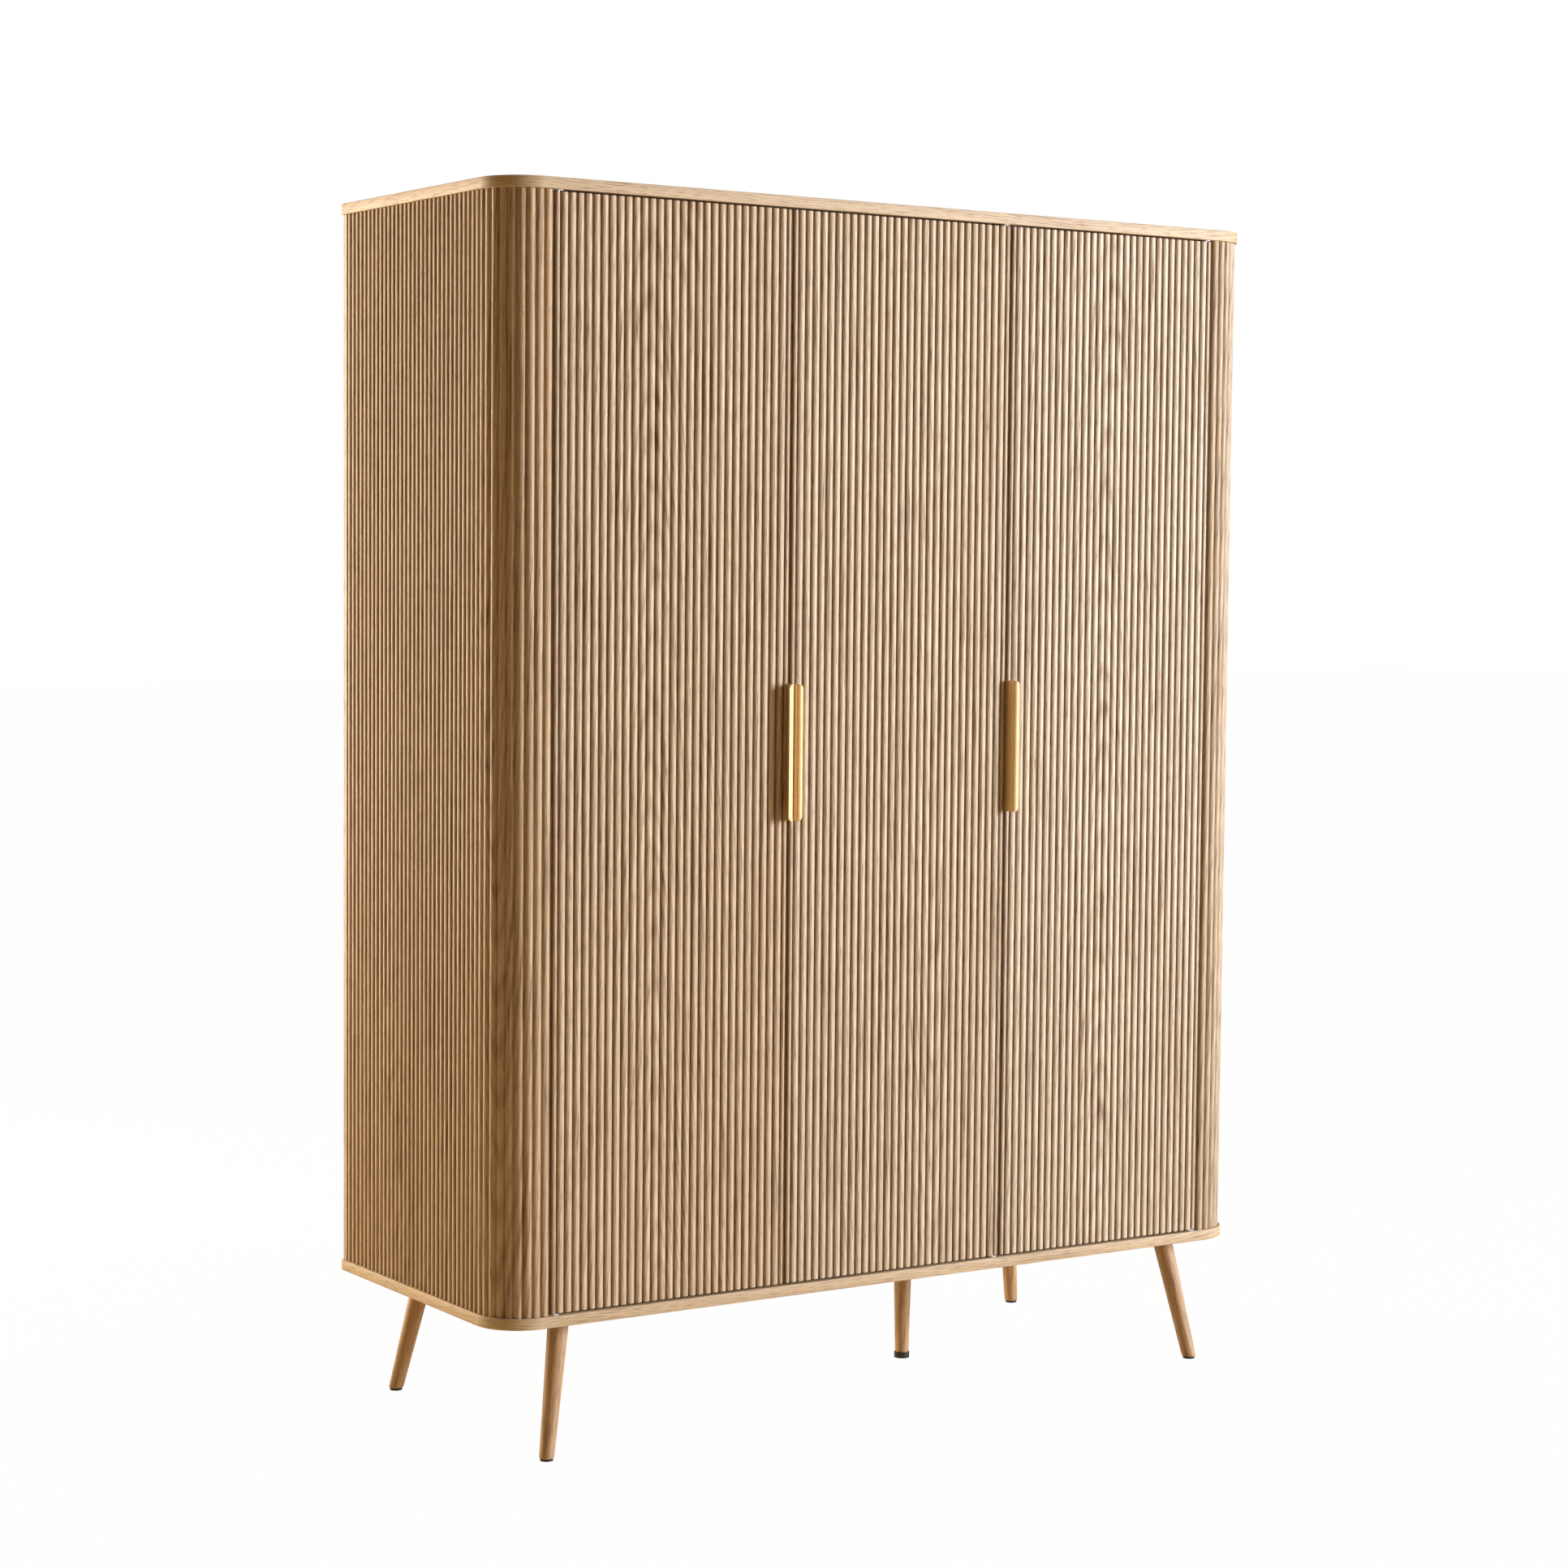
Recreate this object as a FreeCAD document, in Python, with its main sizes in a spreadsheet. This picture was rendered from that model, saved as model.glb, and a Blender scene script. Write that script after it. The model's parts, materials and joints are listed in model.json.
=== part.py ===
"""Three-door wardrobe on splayed legs, reeded front and sides, rounded front corners.

Frame: +Z up, +X to the right seen from the front, the doors face -Y.  The origin is on
the floor, in the middle of the wardrobe's footprint with the handles counted in.
All sizes are in millimetres.
"""
import FreeCAD
import Part
import Sketcher

import math
import os
import re

SIZES = (
    ("overall_width", 1500, "across the top and bottom slabs"),
    ("overall_depth", 560, "slabs, front edge to back edge"),
    ("overall_height", 2000, "floor to the top slab's upper face"),
    ("leg_height", 214, "floor to the bottom slab's underside"),
    ("slab_thickness", 18, "top and bottom slabs"),
    ("corner_radius", 75, "slabs' front corners in plan"),
    ("slab_arris", 1, "bevel on the slabs' long edges"),
    ("crest_inset", 3.5, "slab edge to the crests of the reeds"),
    ("reed_pitch", 14.35, "crest to crest"),
    ("reed_depth", 4, "crest to valley"),
    ("edge_reed_depth", 3, "the narrow reed along each door edge"),
    ("skin_backing", 2, "sheet that carries the side reeds"),
    ("plain_margin", 12, "flat strip at the rear of each side skin, level with the crests"),
    ("side_return", 90.5, "slab edge to the corner post's inner face"),
    ("side_board", 18, "thickness of the side boards"),
    ("board_thickness", 18, "partition and shelves"),
    ("door_gap", 4, "between doors, and door to post"),
    ("door_end_gap", 3, "door to slab, above and below"),
    ("door_board", 16, "door thickness behind the reeds"),
    ("door_relief", 3.5, "door back to the partition's front edge"),
    ("back_thickness", 4, "back panels"),
    ("back_inset", 8, "slab back edge to the back panels"),
    ("groove_depth", 5, "back panels in slabs and side boards"),
    ("batten_width", 40, "strip over the joint of two back panels"),
    ("batten_thickness", 12, "the same strip, front to back"),
    ("batten_room", 1, "between the strip and the shelf notched round it"),
    ("hat_shelf_drop", 300, "top slab to the hat shelf's upper face"),
    ("shelf_count", 4, "shelves in the right-hand compartment"),
    ("shelf_play", 1, "shelf end to the upright beside it"),
    ("shelf_setback", 3, "corner post to the shelves' front edge"),
    ("shelf_pin_radius", 2.5, "pins that carry the shelves"),
    ("shelf_pin_hole", 9, "pin's length in the upright"),
    ("shelf_pin_reach", 8, "pin's length under the shelf"),
    ("shelf_pin_inset", 50, "shelf edge to its pins"),
    ("rail_radius", 12.5, "clothes rail"),
    ("rail_wall", 1.5, "clothes rail tube"),
    ("rail_drop", 60, "hat shelf's underside to the rail's axis"),
    ("socket_radius", 20, "rail socket's flange"),
    ("socket_flange", 3, "rail socket's flange thickness"),
    ("socket_depth", 14, "rail socket's cup"),
    ("socket_wall", 2.5, "rail socket's cup wall"),
    ("socket_fit", 0.5, "between rail and cup"),
    ("leg_top_radius", 17, "legs, at the slab"),
    ("leg_foot_radius", 12, "legs, at the floor"),
    ("leg_inset_x", 133, "slab side edge to a corner leg's top"),
    ("leg_inset_y", 50, "slab front or back edge to a corner leg's top"),
    ("leg_splay_x", 40, "how far a corner foot stands outwards"),
    ("leg_splay_y", 34, "how far a corner foot stands to front or back"),
    ("centre_leg_set", 8, "centre leg behind the slabs' middle"),
    ("glide_radius", 10.5, "corner glides"),
    ("glide_height", 4, "corner glides"),
    ("centre_glide_radius", 13.5, "centre foot"),
    ("centre_glide_height", 10, "centre foot"),
    ("leg_plate_side", 56, "steel plates over the legs"),
    ("leg_plate_thickness", 3, "steel plates over the legs"),
    ("leg_plate_screw_inset", 8, "plate's edge to its screws"),
    ("leg_bolt_radius", 4, "bolt from plate into leg"),
    ("leg_bolt_length", 45, "bolt from plate into leg"),
    ("screw_radius", 1.75, "wood screws"),
    ("screw_head_radius", 3.5, "wood screws"),
    ("screw_length", 12, "wood screws"),
    ("pivot_inset", 8, "door edge to the pivot axis"),
    ("pivot_setback", 10, "reed crests to the pivot axis"),
    ("pivot_radius", 4, "pivot pins"),
    ("pivot_clearance", 0.05, "pin to bush, on the radius"),
    ("pivot_collar_radius", 6, "collar that stands on the lower bush"),
    ("pivot_reach", 9, "pin's length inside the slab"),
    ("pivot_plate_length", 60, "plates that carry the pins"),
    ("pivot_plate_width", 11, "plates that carry the pins"),
    ("pivot_plate_thickness", 3, "plates that carry the pins"),
    ("pivot_plate_margin", 2, "door edge to the plate's end"),
    ("bush_radius", 6, "bushes in the slabs"),
    ("bush_depth", 10, "bushes in the slabs"),
    ("bush_flange_radius", 9, "bush flange"),
    ("bush_flange", 1.5, "bush flange thickness"),
    ("handle_length", 222, "edge pulls, up the door"),
    ("handle_stand", 19.5, "edge pulls, proud of the reed crests"),
    ("handle_lip", 11, "edge pulls, width of the turned lip"),
    ("handle_bend", 8, "outer radius of the bend and of the lip's corners"),
    ("handle_plate", 2, "edge pulls, metal thickness"),
    ("handle_flange", 24, "edge pulls, flange on the door's back"),
    ("handle_screw_inset", 14.4, "door's free edge to the pull's screws"),
    ("catch_offset", 30, "door's free edge to its catch"),
    ("catch_length", 40, "magnetic catches"),
    ("catch_depth", 16, "magnetic catches"),
    ("catch_height", 14, "magnetic catches"),
    ("catch_gap", 0.5, "catch to strike plate"),
    ("strike_thickness", 1.5, "strike plates"),
    ("strike_drop", 2, "strike plate's lower edge below the catch"),
    ("stop_height", 8, "door stops on the bottom slab"),
    ("stop_depth", 12, "door stops on the bottom slab"),
    ("joint_spread", 300, "between the two cam joints of an upright"),
    ("joint_step", 32, "cam joint to the dowel beside it"),
    ("cam_radius", 7.5, "cam discs"),
    ("cam_depth", 12.5, "cam discs"),
    ("cam_setback", 34, "board end to the cam's centre"),
    ("cam_bolt_radius", 3, "cam bolts"),
    ("cam_bolt_hold", 9, "cam bolt's length in the slab"),
    ("cam_grip", 3, "cam bolt's length inside the cam"),
    ("dowel_radius", 4, "dowels"),
    ("dowel_hold", 10, "dowel's length in the slab"),
    ("dowel_length", 32, "dowels"),
    ("bracket_side", 30, "wall brackets"),
    ("bracket_thickness", 2, "wall brackets"),
    ("bracket_spread", 1100, "between the two wall brackets"),
    ("bracket_hole", 2.75, "radius of the holes for the wall screws"),
    ("bracket_hole_drop", 18, "top slab to the holes for the wall screws"),
)
ALIASES = {name for name, number, note in SIZES}

# Places that many pieces share, worked out from the sizes.
FRONT = "((handle_stand - crest_inset - overall_depth) / 2)"
BACK = f"({FRONT} + overall_depth)"
MIDDLE_Y = f"({FRONT} + overall_depth / 2)"
CREST = f"({FRONT} + crest_inset)"
DOOR_BACK = f"({CREST} + reed_depth + door_board)"
FLOOR_Z = "(leg_height + slab_thickness)"
CEILING_Z = "(overall_height - slab_thickness)"
INSIDE_HEIGHT = f"({CEILING_Z} - {FLOOR_Z})"
DOOR_WIDTH = "((overall_width - 2 * side_return - 4 * door_gap) / 3)"
DOOR_STEP = f"({DOOR_WIDTH} + door_gap)"
MIDDLE_Z = f"(({FLOOR_Z} + {CEILING_Z}) / 2)"
SKIN_FACE = "(overall_width / 2 - crest_inset - reed_depth - skin_backing)"
SIDE_INNER = f"({SKIN_FACE} - side_board)"
CORNER_X = "(overall_width / 2 - corner_radius)"
CORNER_Y = f"({FRONT} + corner_radius)"
PANEL_FRONT = f"({BACK} - back_inset - back_thickness)"
PARTITION_X = f"({DOOR_STEP} / 2)"
PARTITION_LEFT = f"({PARTITION_X} - board_thickness / 2)"
PARTITION_RIGHT = f"({PARTITION_X} + board_thickness / 2)"
SHELF_FRONT = f"({CORNER_Y} + shelf_setback)"
HAT_SHELF_Z = f"({CEILING_Z} - hat_shelf_drop - board_thickness)"
RAIL_Z = f"({HAT_SHELF_Z} - rail_drop)"
RAIL_Y = f"(({SHELF_FRONT} + {PANEL_FRONT}) / 2)"
JOINT_Y = f"(({CORNER_Y} + {BACK}) / 2)"
PIVOT_Y = f"({CREST} + pivot_setback)"
LEG_TOP_Z = "(leg_height)"
PLATE_SCREW_SHARES = (0.5, 0.85)  # how far along a pivot plate its two screws sit
AXES = {
    "x": FreeCAD.Rotation(FreeCAD.Vector(0, 1, 0), 90),
    "y": FreeCAD.Rotation(FreeCAD.Vector(1, 0, 0), -90),
    "z": FreeCAD.Rotation(),
}
HALF_TURN = FreeCAD.Rotation(FreeCAD.Vector(0, 1, 0), 180)

doc = FreeCAD.newDocument("wardrobe")
sheet = doc.addObject("Spreadsheet::Sheet", "Sizes")
for row, (alias, number, note) in enumerate(SIZES, start=1):
    sheet.set(f"A{row}", alias)
    sheet.set(f"B{row}", str(number))
    sheet.setAlias(f"B{row}", alias)
    sheet.set(f"C{row}", note)
doc.recompute()
nodes = []


def size(alias):
    """Number in the sheet's cell of that name."""
    return float(sheet.get(alias))


def bind(item, prop, expression):
    """Tie one property to an expression over the sheet's names."""
    text = re.sub(r"[a-z_]+", lambda word: f"Sizes.{word[0]}" if word[0] in ALIASES else word[0],
                  str(expression))
    item.setExpression(prop, text)


def place(item, x, y, z):
    """Tie an object's position to expressions."""
    bind(item, "Placement.Base.x", x)
    bind(item, "Placement.Base.y", y)
    bind(item, "Placement.Base.z", z)
    return item


def box(corner, extent):
    """Block from its lowest corner."""
    item = doc.addObject("Part::Box", "block")
    for prop, expression in zip(("Length", "Width", "Height"), extent):
        bind(item, prop, expression)
    return place(item, *corner)


def rod(start, radius, length, axis="z"):
    """Cylinder from the centre of its first end, along +X, +Y or +Z."""
    item = doc.addObject("Part::Cylinder", "rod")
    bind(item, "Radius", radius)
    bind(item, "Height", length)
    item.Placement = FreeCAD.Placement(FreeCAD.Vector(), AXES[axis])
    return place(item, *start)


def taper(start, radii, length, axis="z"):
    """Cone from the centre of its first end, along +X, +Y or +Z."""
    item = doc.addObject("Part::Cone", "taper")
    bind(item, "Radius1", radii[0])
    bind(item, "Radius2", radii[1])
    bind(item, "Height", length)
    item.Placement = FreeCAD.Placement(FreeCAD.Vector(), AXES[axis])
    return place(item, *start)


def group(items):
    """Separate solids held as one object."""
    item = doc.addObject("Part::Compound", "set")
    item.Links = items
    return item


def fuse(items):
    """One solid from several that touch."""
    item = doc.addObject("Part::MultiFuse", "join")
    item.Shapes = items
    item.Refine = True
    return item


def cut(base, tools):
    """The base with each tool taken out of it."""
    for tool in tools:
        item = doc.addObject("Part::Cut", "cut")
        item.Base = base
        item.Tool = tool
        item.Refine = False
        base = item
    return base


def node(label, item):
    """Name a finished sub-part and keep it for export."""
    item.Label = label
    nodes.append(item)
    return item


def slab(underside):
    """Board with rounded front corners, square back corners and bevelled long edges."""
    body = doc.addObject("PartDesign::Body", "slab")
    plan = body.newObject("Sketcher::SketchObject", "plan")
    plane = [item for item in body.Origin.OriginFeatures if item.Role == "XY_Plane"][0]
    plan.AttachmentSupport = [(plane, "")]
    plan.MapMode = "FlatFace"
    across, along = size("overall_width") / 2, size("overall_depth") / 2
    corners = [FreeCAD.Vector(sx * across, sy * along, 0)
               for sx, sy in ((-1, -1), (1, -1), (1, 1), (-1, 1))]
    for index in range(4):
        plan.addGeometry(Part.LineSegment(corners[index], corners[(index + 1) % 4]))
    for index in range(4):
        plan.addConstraint(Sketcher.Constraint("Coincident", index, 2, (index + 1) % 4, 1))
        plan.addConstraint(Sketcher.Constraint(("Horizontal", "Vertical")[index % 2], index))
    plan.addConstraint(Sketcher.Constraint("Symmetric", 0, 1, 2, 1, -1, 1))
    plan.addConstraint(Sketcher.Constraint("Distance", 0, 2 * across))
    plan.renameConstraint(9, "width")
    plan.addConstraint(Sketcher.Constraint("Distance", 1, 2 * along))
    plan.renameConstraint(10, "depth")
    bind(plan, "Constraints.width", "overall_width")
    bind(plan, "Constraints.depth", "overall_depth")
    pad = body.newObject("PartDesign::Pad", "pad")
    pad.Profile = plan
    bind(pad, "Length", "slab_thickness")
    doc.recompute()
    upright = [f"Edge{count}" for count, edge in enumerate(pad.Shape.Edges, start=1)
               if edge.BoundBox.ZLength > 1 and edge.BoundBox.YMax < 0]
    corner = body.newObject("PartDesign::Fillet", "corner")
    corner.Base = (pad, upright)
    bind(corner, "Radius", "corner_radius")
    doc.recompute()
    flat = [f"Edge{count}" for count, edge in enumerate(corner.Shape.Edges, start=1)
            if edge.BoundBox.ZLength < 0.1 and edge.BoundBox.YMin < along - 1]
    arris = body.newObject("PartDesign::Chamfer", "arris")
    arris.Base = (corner, flat)
    bind(arris, "Size", "slab_arris")
    return place(body, 0, MIDDLE_Y, underside)


def reeded_outline(valleys, crests):
    """Row of round reeds: an arc from valley to valley over each crest."""
    return [Part.Arc(start, crest, end).toShape()
            for start, crest, end in zip(valleys, crests, valleys[1:])]


def prism(edges, closing, height):
    """Upright solid on an outline that starts with edges and closes through points."""
    run = [edges[-1].Vertexes[-1].Point, *closing, edges[0].Vertexes[0].Point]
    lines = [Part.makeLine(start, end) for start, end in zip(run, run[1:])]
    face = Part.Face(Part.Wire(edges + lines))
    return face.extrude(FreeCAD.Vector(0, 0, height))


def inside_height():
    """Clear height between the slabs."""
    return size("overall_height") - size("leg_height") - 2 * size("slab_thickness")


def skin_station(length, flat, radius):
    """Point and outward direction at a distance along the skin's backing, in plan."""
    bend = radius * math.pi / 2
    if length < flat:
        return FreeCAD.Vector(length - flat, -radius), FreeCAD.Vector(0, -1)
    if length < flat + bend:
        angle = (length - flat) / radius
        outward = FreeCAD.Vector(math.sin(angle), -math.cos(angle))
        return outward * radius, outward
    return FreeCAD.Vector(radius, length - flat - bend), FreeCAD.Vector(1, 0)


def fluted_skin(turned):
    """Reeded sheet from the door gap round the front corner to the back edge."""
    flat = size("side_return") - size("corner_radius")
    radius = size("corner_radius") - size("crest_inset") - size("reed_depth")
    inner = radius - size("skin_backing")
    side = size("overall_depth") - size("corner_radius")
    reeded = flat + radius * math.pi / 2 + side - size("plain_margin")
    count = round(reeded / size("reed_pitch"))
    valleys = [skin_station(reeded * index / count, flat, radius)[0]
               for index in range(count + 1)]
    crests = []
    for index in range(count):
        point, outward = skin_station(reeded * (index + 0.5) / count, flat, radius)
        crests.append(point + outward * size("reed_depth"))
    outline = reeded_outline(valleys, crests)
    margin = radius + size("reed_depth")
    strip = (FreeCAD.Vector(margin, valleys[-1].y), FreeCAD.Vector(margin, side),
             FreeCAD.Vector(inner, side), FreeCAD.Vector(inner, 0))
    run = [valleys[-1], *strip]
    outline += [Part.makeLine(start, end) for start, end in zip(run, run[1:])]
    diagonal = inner * math.sqrt(0.5)
    outline.append(Part.Arc(FreeCAD.Vector(inner, 0), FreeCAD.Vector(diagonal, -diagonal),
                            FreeCAD.Vector(0, -inner)).toShape())
    item = doc.addObject("Part::Feature", "skin")
    item.Shape = prism(outline, (FreeCAD.Vector(-flat, -inner),), inside_height())
    return turned_place(item, turned)


def corner_post(turned):
    """Solid post under the rounded part of the skin."""
    flat = size("side_return") - size("corner_radius")
    inner = size("corner_radius") - size("crest_inset") - size("reed_depth") - size("skin_backing")
    diagonal = inner * math.sqrt(0.5)
    bend = Part.Arc(FreeCAD.Vector(0, -inner), FreeCAD.Vector(diagonal, -diagonal),
                    FreeCAD.Vector(inner, 0)).toShape()
    item = doc.addObject("Part::Feature", "post")
    item.Shape = prism([bend], (FreeCAD.Vector(-flat, 0), FreeCAD.Vector(-flat, -inner)),
                       inside_height())
    return turned_place(item, turned)


def turned_place(item, turned):
    """Stand a right-hand corner piece in its corner, or upside down in the left one."""
    if turned:
        item.Placement = FreeCAD.Placement(FreeCAD.Vector(), HALF_TURN)
        return place(item, f"-{CORNER_X}", CORNER_Y, CEILING_Z)
    return place(item, CORNER_X, CORNER_Y, FLOOR_Z)


def door_blank(centre):
    """Reeded board with a narrow reed along each upright edge."""
    width = (size("overall_width") - 2 * size("side_return") - 4 * size("door_gap")) / 3
    height = inside_height() - 2 * size("door_end_gap")
    pitch, depth = size("reed_pitch"), size("reed_depth")
    count = int((width - pitch) / pitch)
    first = -count * pitch / 2
    stations = [-width / 2, *(first + pitch * index for index in range(count + 1)), width / 2]
    valleys = [FreeCAD.Vector(x, depth) for x in stations]
    crests = [FreeCAD.Vector((left + right) / 2, 0) for left, right in zip(stations, stations[1:])]
    crests[0].y = crests[-1].y = depth - size("edge_reed_depth")
    thickness = depth + size("door_board")
    item = doc.addObject("Part::Feature", "door")
    item.Shape = prism(reeded_outline(valleys, crests),
                       (FreeCAD.Vector(width / 2, thickness), FreeCAD.Vector(-width / 2, thickness)),
                       height)
    return place(item, centre, CREST, f"{FLOOR_Z} + door_end_gap")


def span(edge, way, near, far):
    """Low x and length of a block from near to far, measured from an edge one way."""
    low = f"({edge} + ({near}))" if way > 0 else f"({edge} - ({far}))"
    return low, f"({far}) - ({near})"


def handle(edge, way):
    """J-shaped pull: flange behind the door, leg in its edge, bend and lip in front."""
    foot_z = f"({MIDDLE_Z} - handle_length / 2)"
    front = f"({CREST} - handle_stand)"
    low, length = span(edge, way, "0", "handle_plate")
    leg = box((low, f"{front} + handle_bend", foot_z),
              (length, f"{DOOR_BACK} - {front} - handle_bend", "handle_length"))
    low, length = span(edge, way, "0", "handle_flange")
    flange = box((low, f"{DOOR_BACK} - handle_plate", foot_z),
                 (length, "handle_plate", "handle_length"))
    low, length = span(edge, way, "handle_bend", "handle_lip")
    lip = box((low, front, foot_z), (length, "handle_plate", "handle_length"))
    centre_x = f"{edge} + {way} * handle_bend"
    turn = FreeCAD.Rotation(FreeCAD.Vector(0, 0, 1), 180 if way > 0 else 270)
    quarters = []
    for radius in ("handle_bend", "handle_bend - handle_plate"):
        quarter = rod((centre_x, f"{front} + handle_bend", foot_z), radius, "handle_length")
        quarter.Angle = 90
        quarter.Placement.Rotation = turn
        quarters.append(quarter)
    blank = fuse([leg, flange, lip, cut(quarters[0], quarters[1:])])
    corner_x = f"({edge} + {way} * (handle_lip - handle_bend))"
    corners = []
    for end, inward in ((foot_z, 1), (f"({foot_z} + handle_length)", -1)):
        low, length = span(corner_x, way, "0", "handle_bend + 1")
        low_z = end if inward > 0 else f"{end} - handle_bend"
        block = box((low, f"{front} - 1", f"{low_z} - {1 if inward > 0 else 0}"),
                    (length, "handle_bend + 1", "handle_bend + 1"))
        round_end = rod((corner_x, f"{front} - 2", f"{end} + {inward} * handle_bend"),
                        "handle_bend", "handle_bend + 3", "y")
        corners.append(cut(block, [round_end]))
    return cut(blank, corners)


def screw(head, down, axis="z"):
    """Countersunk wood screw: head flush at a point, running one way along an axis."""
    head_depth = "(screw_head_radius - screw_radius)"
    offset = {"x": (1, 0, 0), "y": (0, 1, 0), "z": (0, 0, 1)}[axis]

    def along(distance):
        return [f"{base} + {step} * ({distance})" for base, step in zip(head, offset)]

    if down > 0:
        cone = taper(head, ("screw_head_radius", "screw_radius"), head_depth, axis)
        shank = rod(along(head_depth), "screw_radius", f"screw_length - {head_depth}", axis)
    else:
        cone = taper(along(f"-{head_depth}"), ("screw_radius", "screw_head_radius"),
                     head_depth, axis)
        shank = rod(along("-screw_length"), "screw_radius", f"screw_length - {head_depth}", axis)
    return fuse([cone, shank])


def handle_screws(edge, way):
    """Two screws through the pull's back flange into the door."""
    x = f"{edge} + {way} * handle_screw_inset"
    return group([screw((x, DOOR_BACK, f"{MIDDLE_Z} + {side} * handle_length / 3"), -1, "y")
                  for side in (-1, 1)])


def pivot_plate(edge, way, z):
    """Steel plate let into the door's end, for one pivot."""
    low, length = span(edge, way, "pivot_plate_margin", "pivot_plate_margin + pivot_plate_length")
    return box((low, f"{PIVOT_Y} - pivot_plate_width / 2", z),
               (length, "pivot_plate_width", "pivot_plate_thickness"))


def bottom_pivot(edge, way, axis_x):
    """Plate with a pin that points down, and a collar that carries the door's weight."""
    end = f"({FLOOR_Z} + door_end_gap)"
    pin = rod((axis_x, PIVOT_Y, f"{FLOOR_Z} - pivot_reach"), "pivot_radius",
              "pivot_reach + door_end_gap")
    collar = rod((axis_x, PIVOT_Y, f"{FLOOR_Z} + bush_flange"), "pivot_collar_radius",
                 "door_end_gap - bush_flange")
    return fuse([pivot_plate(edge, way, end), pin, collar])


def top_pivot(edge, way, axis_x):
    """Plate with a pin that points up."""
    end = f"({CEILING_Z} - door_end_gap)"
    pin = rod((axis_x, PIVOT_Y, end), "pivot_radius", "pivot_reach + door_end_gap")
    return fuse([pivot_plate(edge, way, f"{end} - pivot_plate_thickness"), pin])


def pivot_screws(edge, way):
    """Two screws through each pivot plate into the door's end."""
    items = []
    for share in PLATE_SCREW_SHARES:
        x = f"{edge} + {way} * (pivot_plate_margin + {share} * pivot_plate_length)"
        items.append(screw((x, PIVOT_Y, f"{FLOOR_Z} + door_end_gap"), 1))
        items.append(screw((x, PIVOT_Y, f"{CEILING_Z} - door_end_gap"), -1))
    return group(items)


def strike_plate(edge, way):
    """Steel plate on the door's back, opposite its magnetic catch."""
    low, length = span(edge, way, "catch_offset - catch_length / 2",
                       "catch_offset + catch_length / 2")
    return box((low, DOOR_BACK, f"{CEILING_Z} - catch_height - strike_drop"),
               (length, "strike_thickness", "catch_height - door_end_gap"))


def door(name, position, hinge_way):
    """One door: reeded panel, pull, two pivots, screws and strike plate."""
    centre = f"({position} * {DOOR_STEP})"
    free_edge = f"({centre} - {hinge_way} * {DOOR_WIDTH} / 2)"
    hinge_edge = f"({centre} + {hinge_way} * {DOOR_WIDTH} / 2)"
    axis_x = f"({hinge_edge} - {hinge_way} * pivot_inset)"
    pull_screws = handle_screws(free_edge, hinge_way)
    plate_screws = pivot_screws(hinge_edge, -hinge_way)
    pull = cut(handle(free_edge, hinge_way), [pull_screws])
    lower = cut(bottom_pivot(hinge_edge, -hinge_way, axis_x), [plate_screws])
    upper = cut(top_pivot(hinge_edge, -hinge_way, axis_x), [plate_screws])
    node(f"{name}_door_panel", cut(door_blank(centre), [pull, pull_screws, lower, upper,
                                                        plate_screws]))
    node(f"{name}_door_handle", pull)
    node(f"{name}_door_handle_screws", pull_screws)
    node(f"{name}_door_bottom_pivot", lower)
    node(f"{name}_door_top_pivot", upper)
    node(f"{name}_door_pivot_screws", plate_screws)
    node(f"{name}_door_strike_plate", strike_plate(free_edge, hinge_way))
    return axis_x, free_edge


def bush(axis_x, face, up):
    """Flanged bush in a slab: the flange stands in the gap at the door's end."""
    barrel_z = face if up else f"{face} - bush_depth"
    flange_z = f"{face} - bush_flange" if up else face
    barrel = rod((axis_x, PIVOT_Y, barrel_z), "bush_radius", "bush_depth")
    flange = rod((axis_x, PIVOT_Y, flange_z), "bush_flange_radius", "bush_flange")
    bore_z = f"{face} - bush_flange" if up else f"{face} - bush_depth"
    bore = rod((axis_x, PIVOT_Y, bore_z), "pivot_radius + pivot_clearance",
               "bush_depth + bush_flange")
    return cut(fuse([barrel, flange]), [bore])


def bush_seats(hinges, face, up):
    """Plain holes in a slab that the bushes are pressed into."""
    z = face if up else f"{face} - bush_depth"
    return group([rod((axis_x, PIVOT_Y, z), "bush_radius", "bush_depth") for axis_x in hinges])


def catch(free_edge, way):
    """Magnetic catch under the top slab, just behind the strike plate."""
    low, length = span(free_edge, way, "catch_offset - catch_length / 2",
                       "catch_offset + catch_length / 2")
    return box((low, f"{DOOR_BACK} + strike_thickness + catch_gap", f"{CEILING_Z} - catch_height"),
               (length, "catch_depth", "catch_height"))


def door_stop(free_edge, way):
    """Stop block on the bottom slab, just behind the door."""
    low, length = span(free_edge, way, "catch_offset - catch_length / 2",
                       "catch_offset + catch_length / 2")
    return box((low, f"{DOOR_BACK} + catch_gap", FLOOR_Z),
               (length, "stop_depth", "stop_height"))


def uprights():
    """The three boards between the slabs: centre x, and the way their cams face."""
    left = f"(-{SKIN_FACE} + side_board / 2)"
    right = f"({SKIN_FACE} - side_board / 2)"
    return ((left, f"-{SIDE_INNER}", -1), (PARTITION_X, PARTITION_RIGHT, -1),
            (right, SIDE_INNER, 1))


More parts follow.
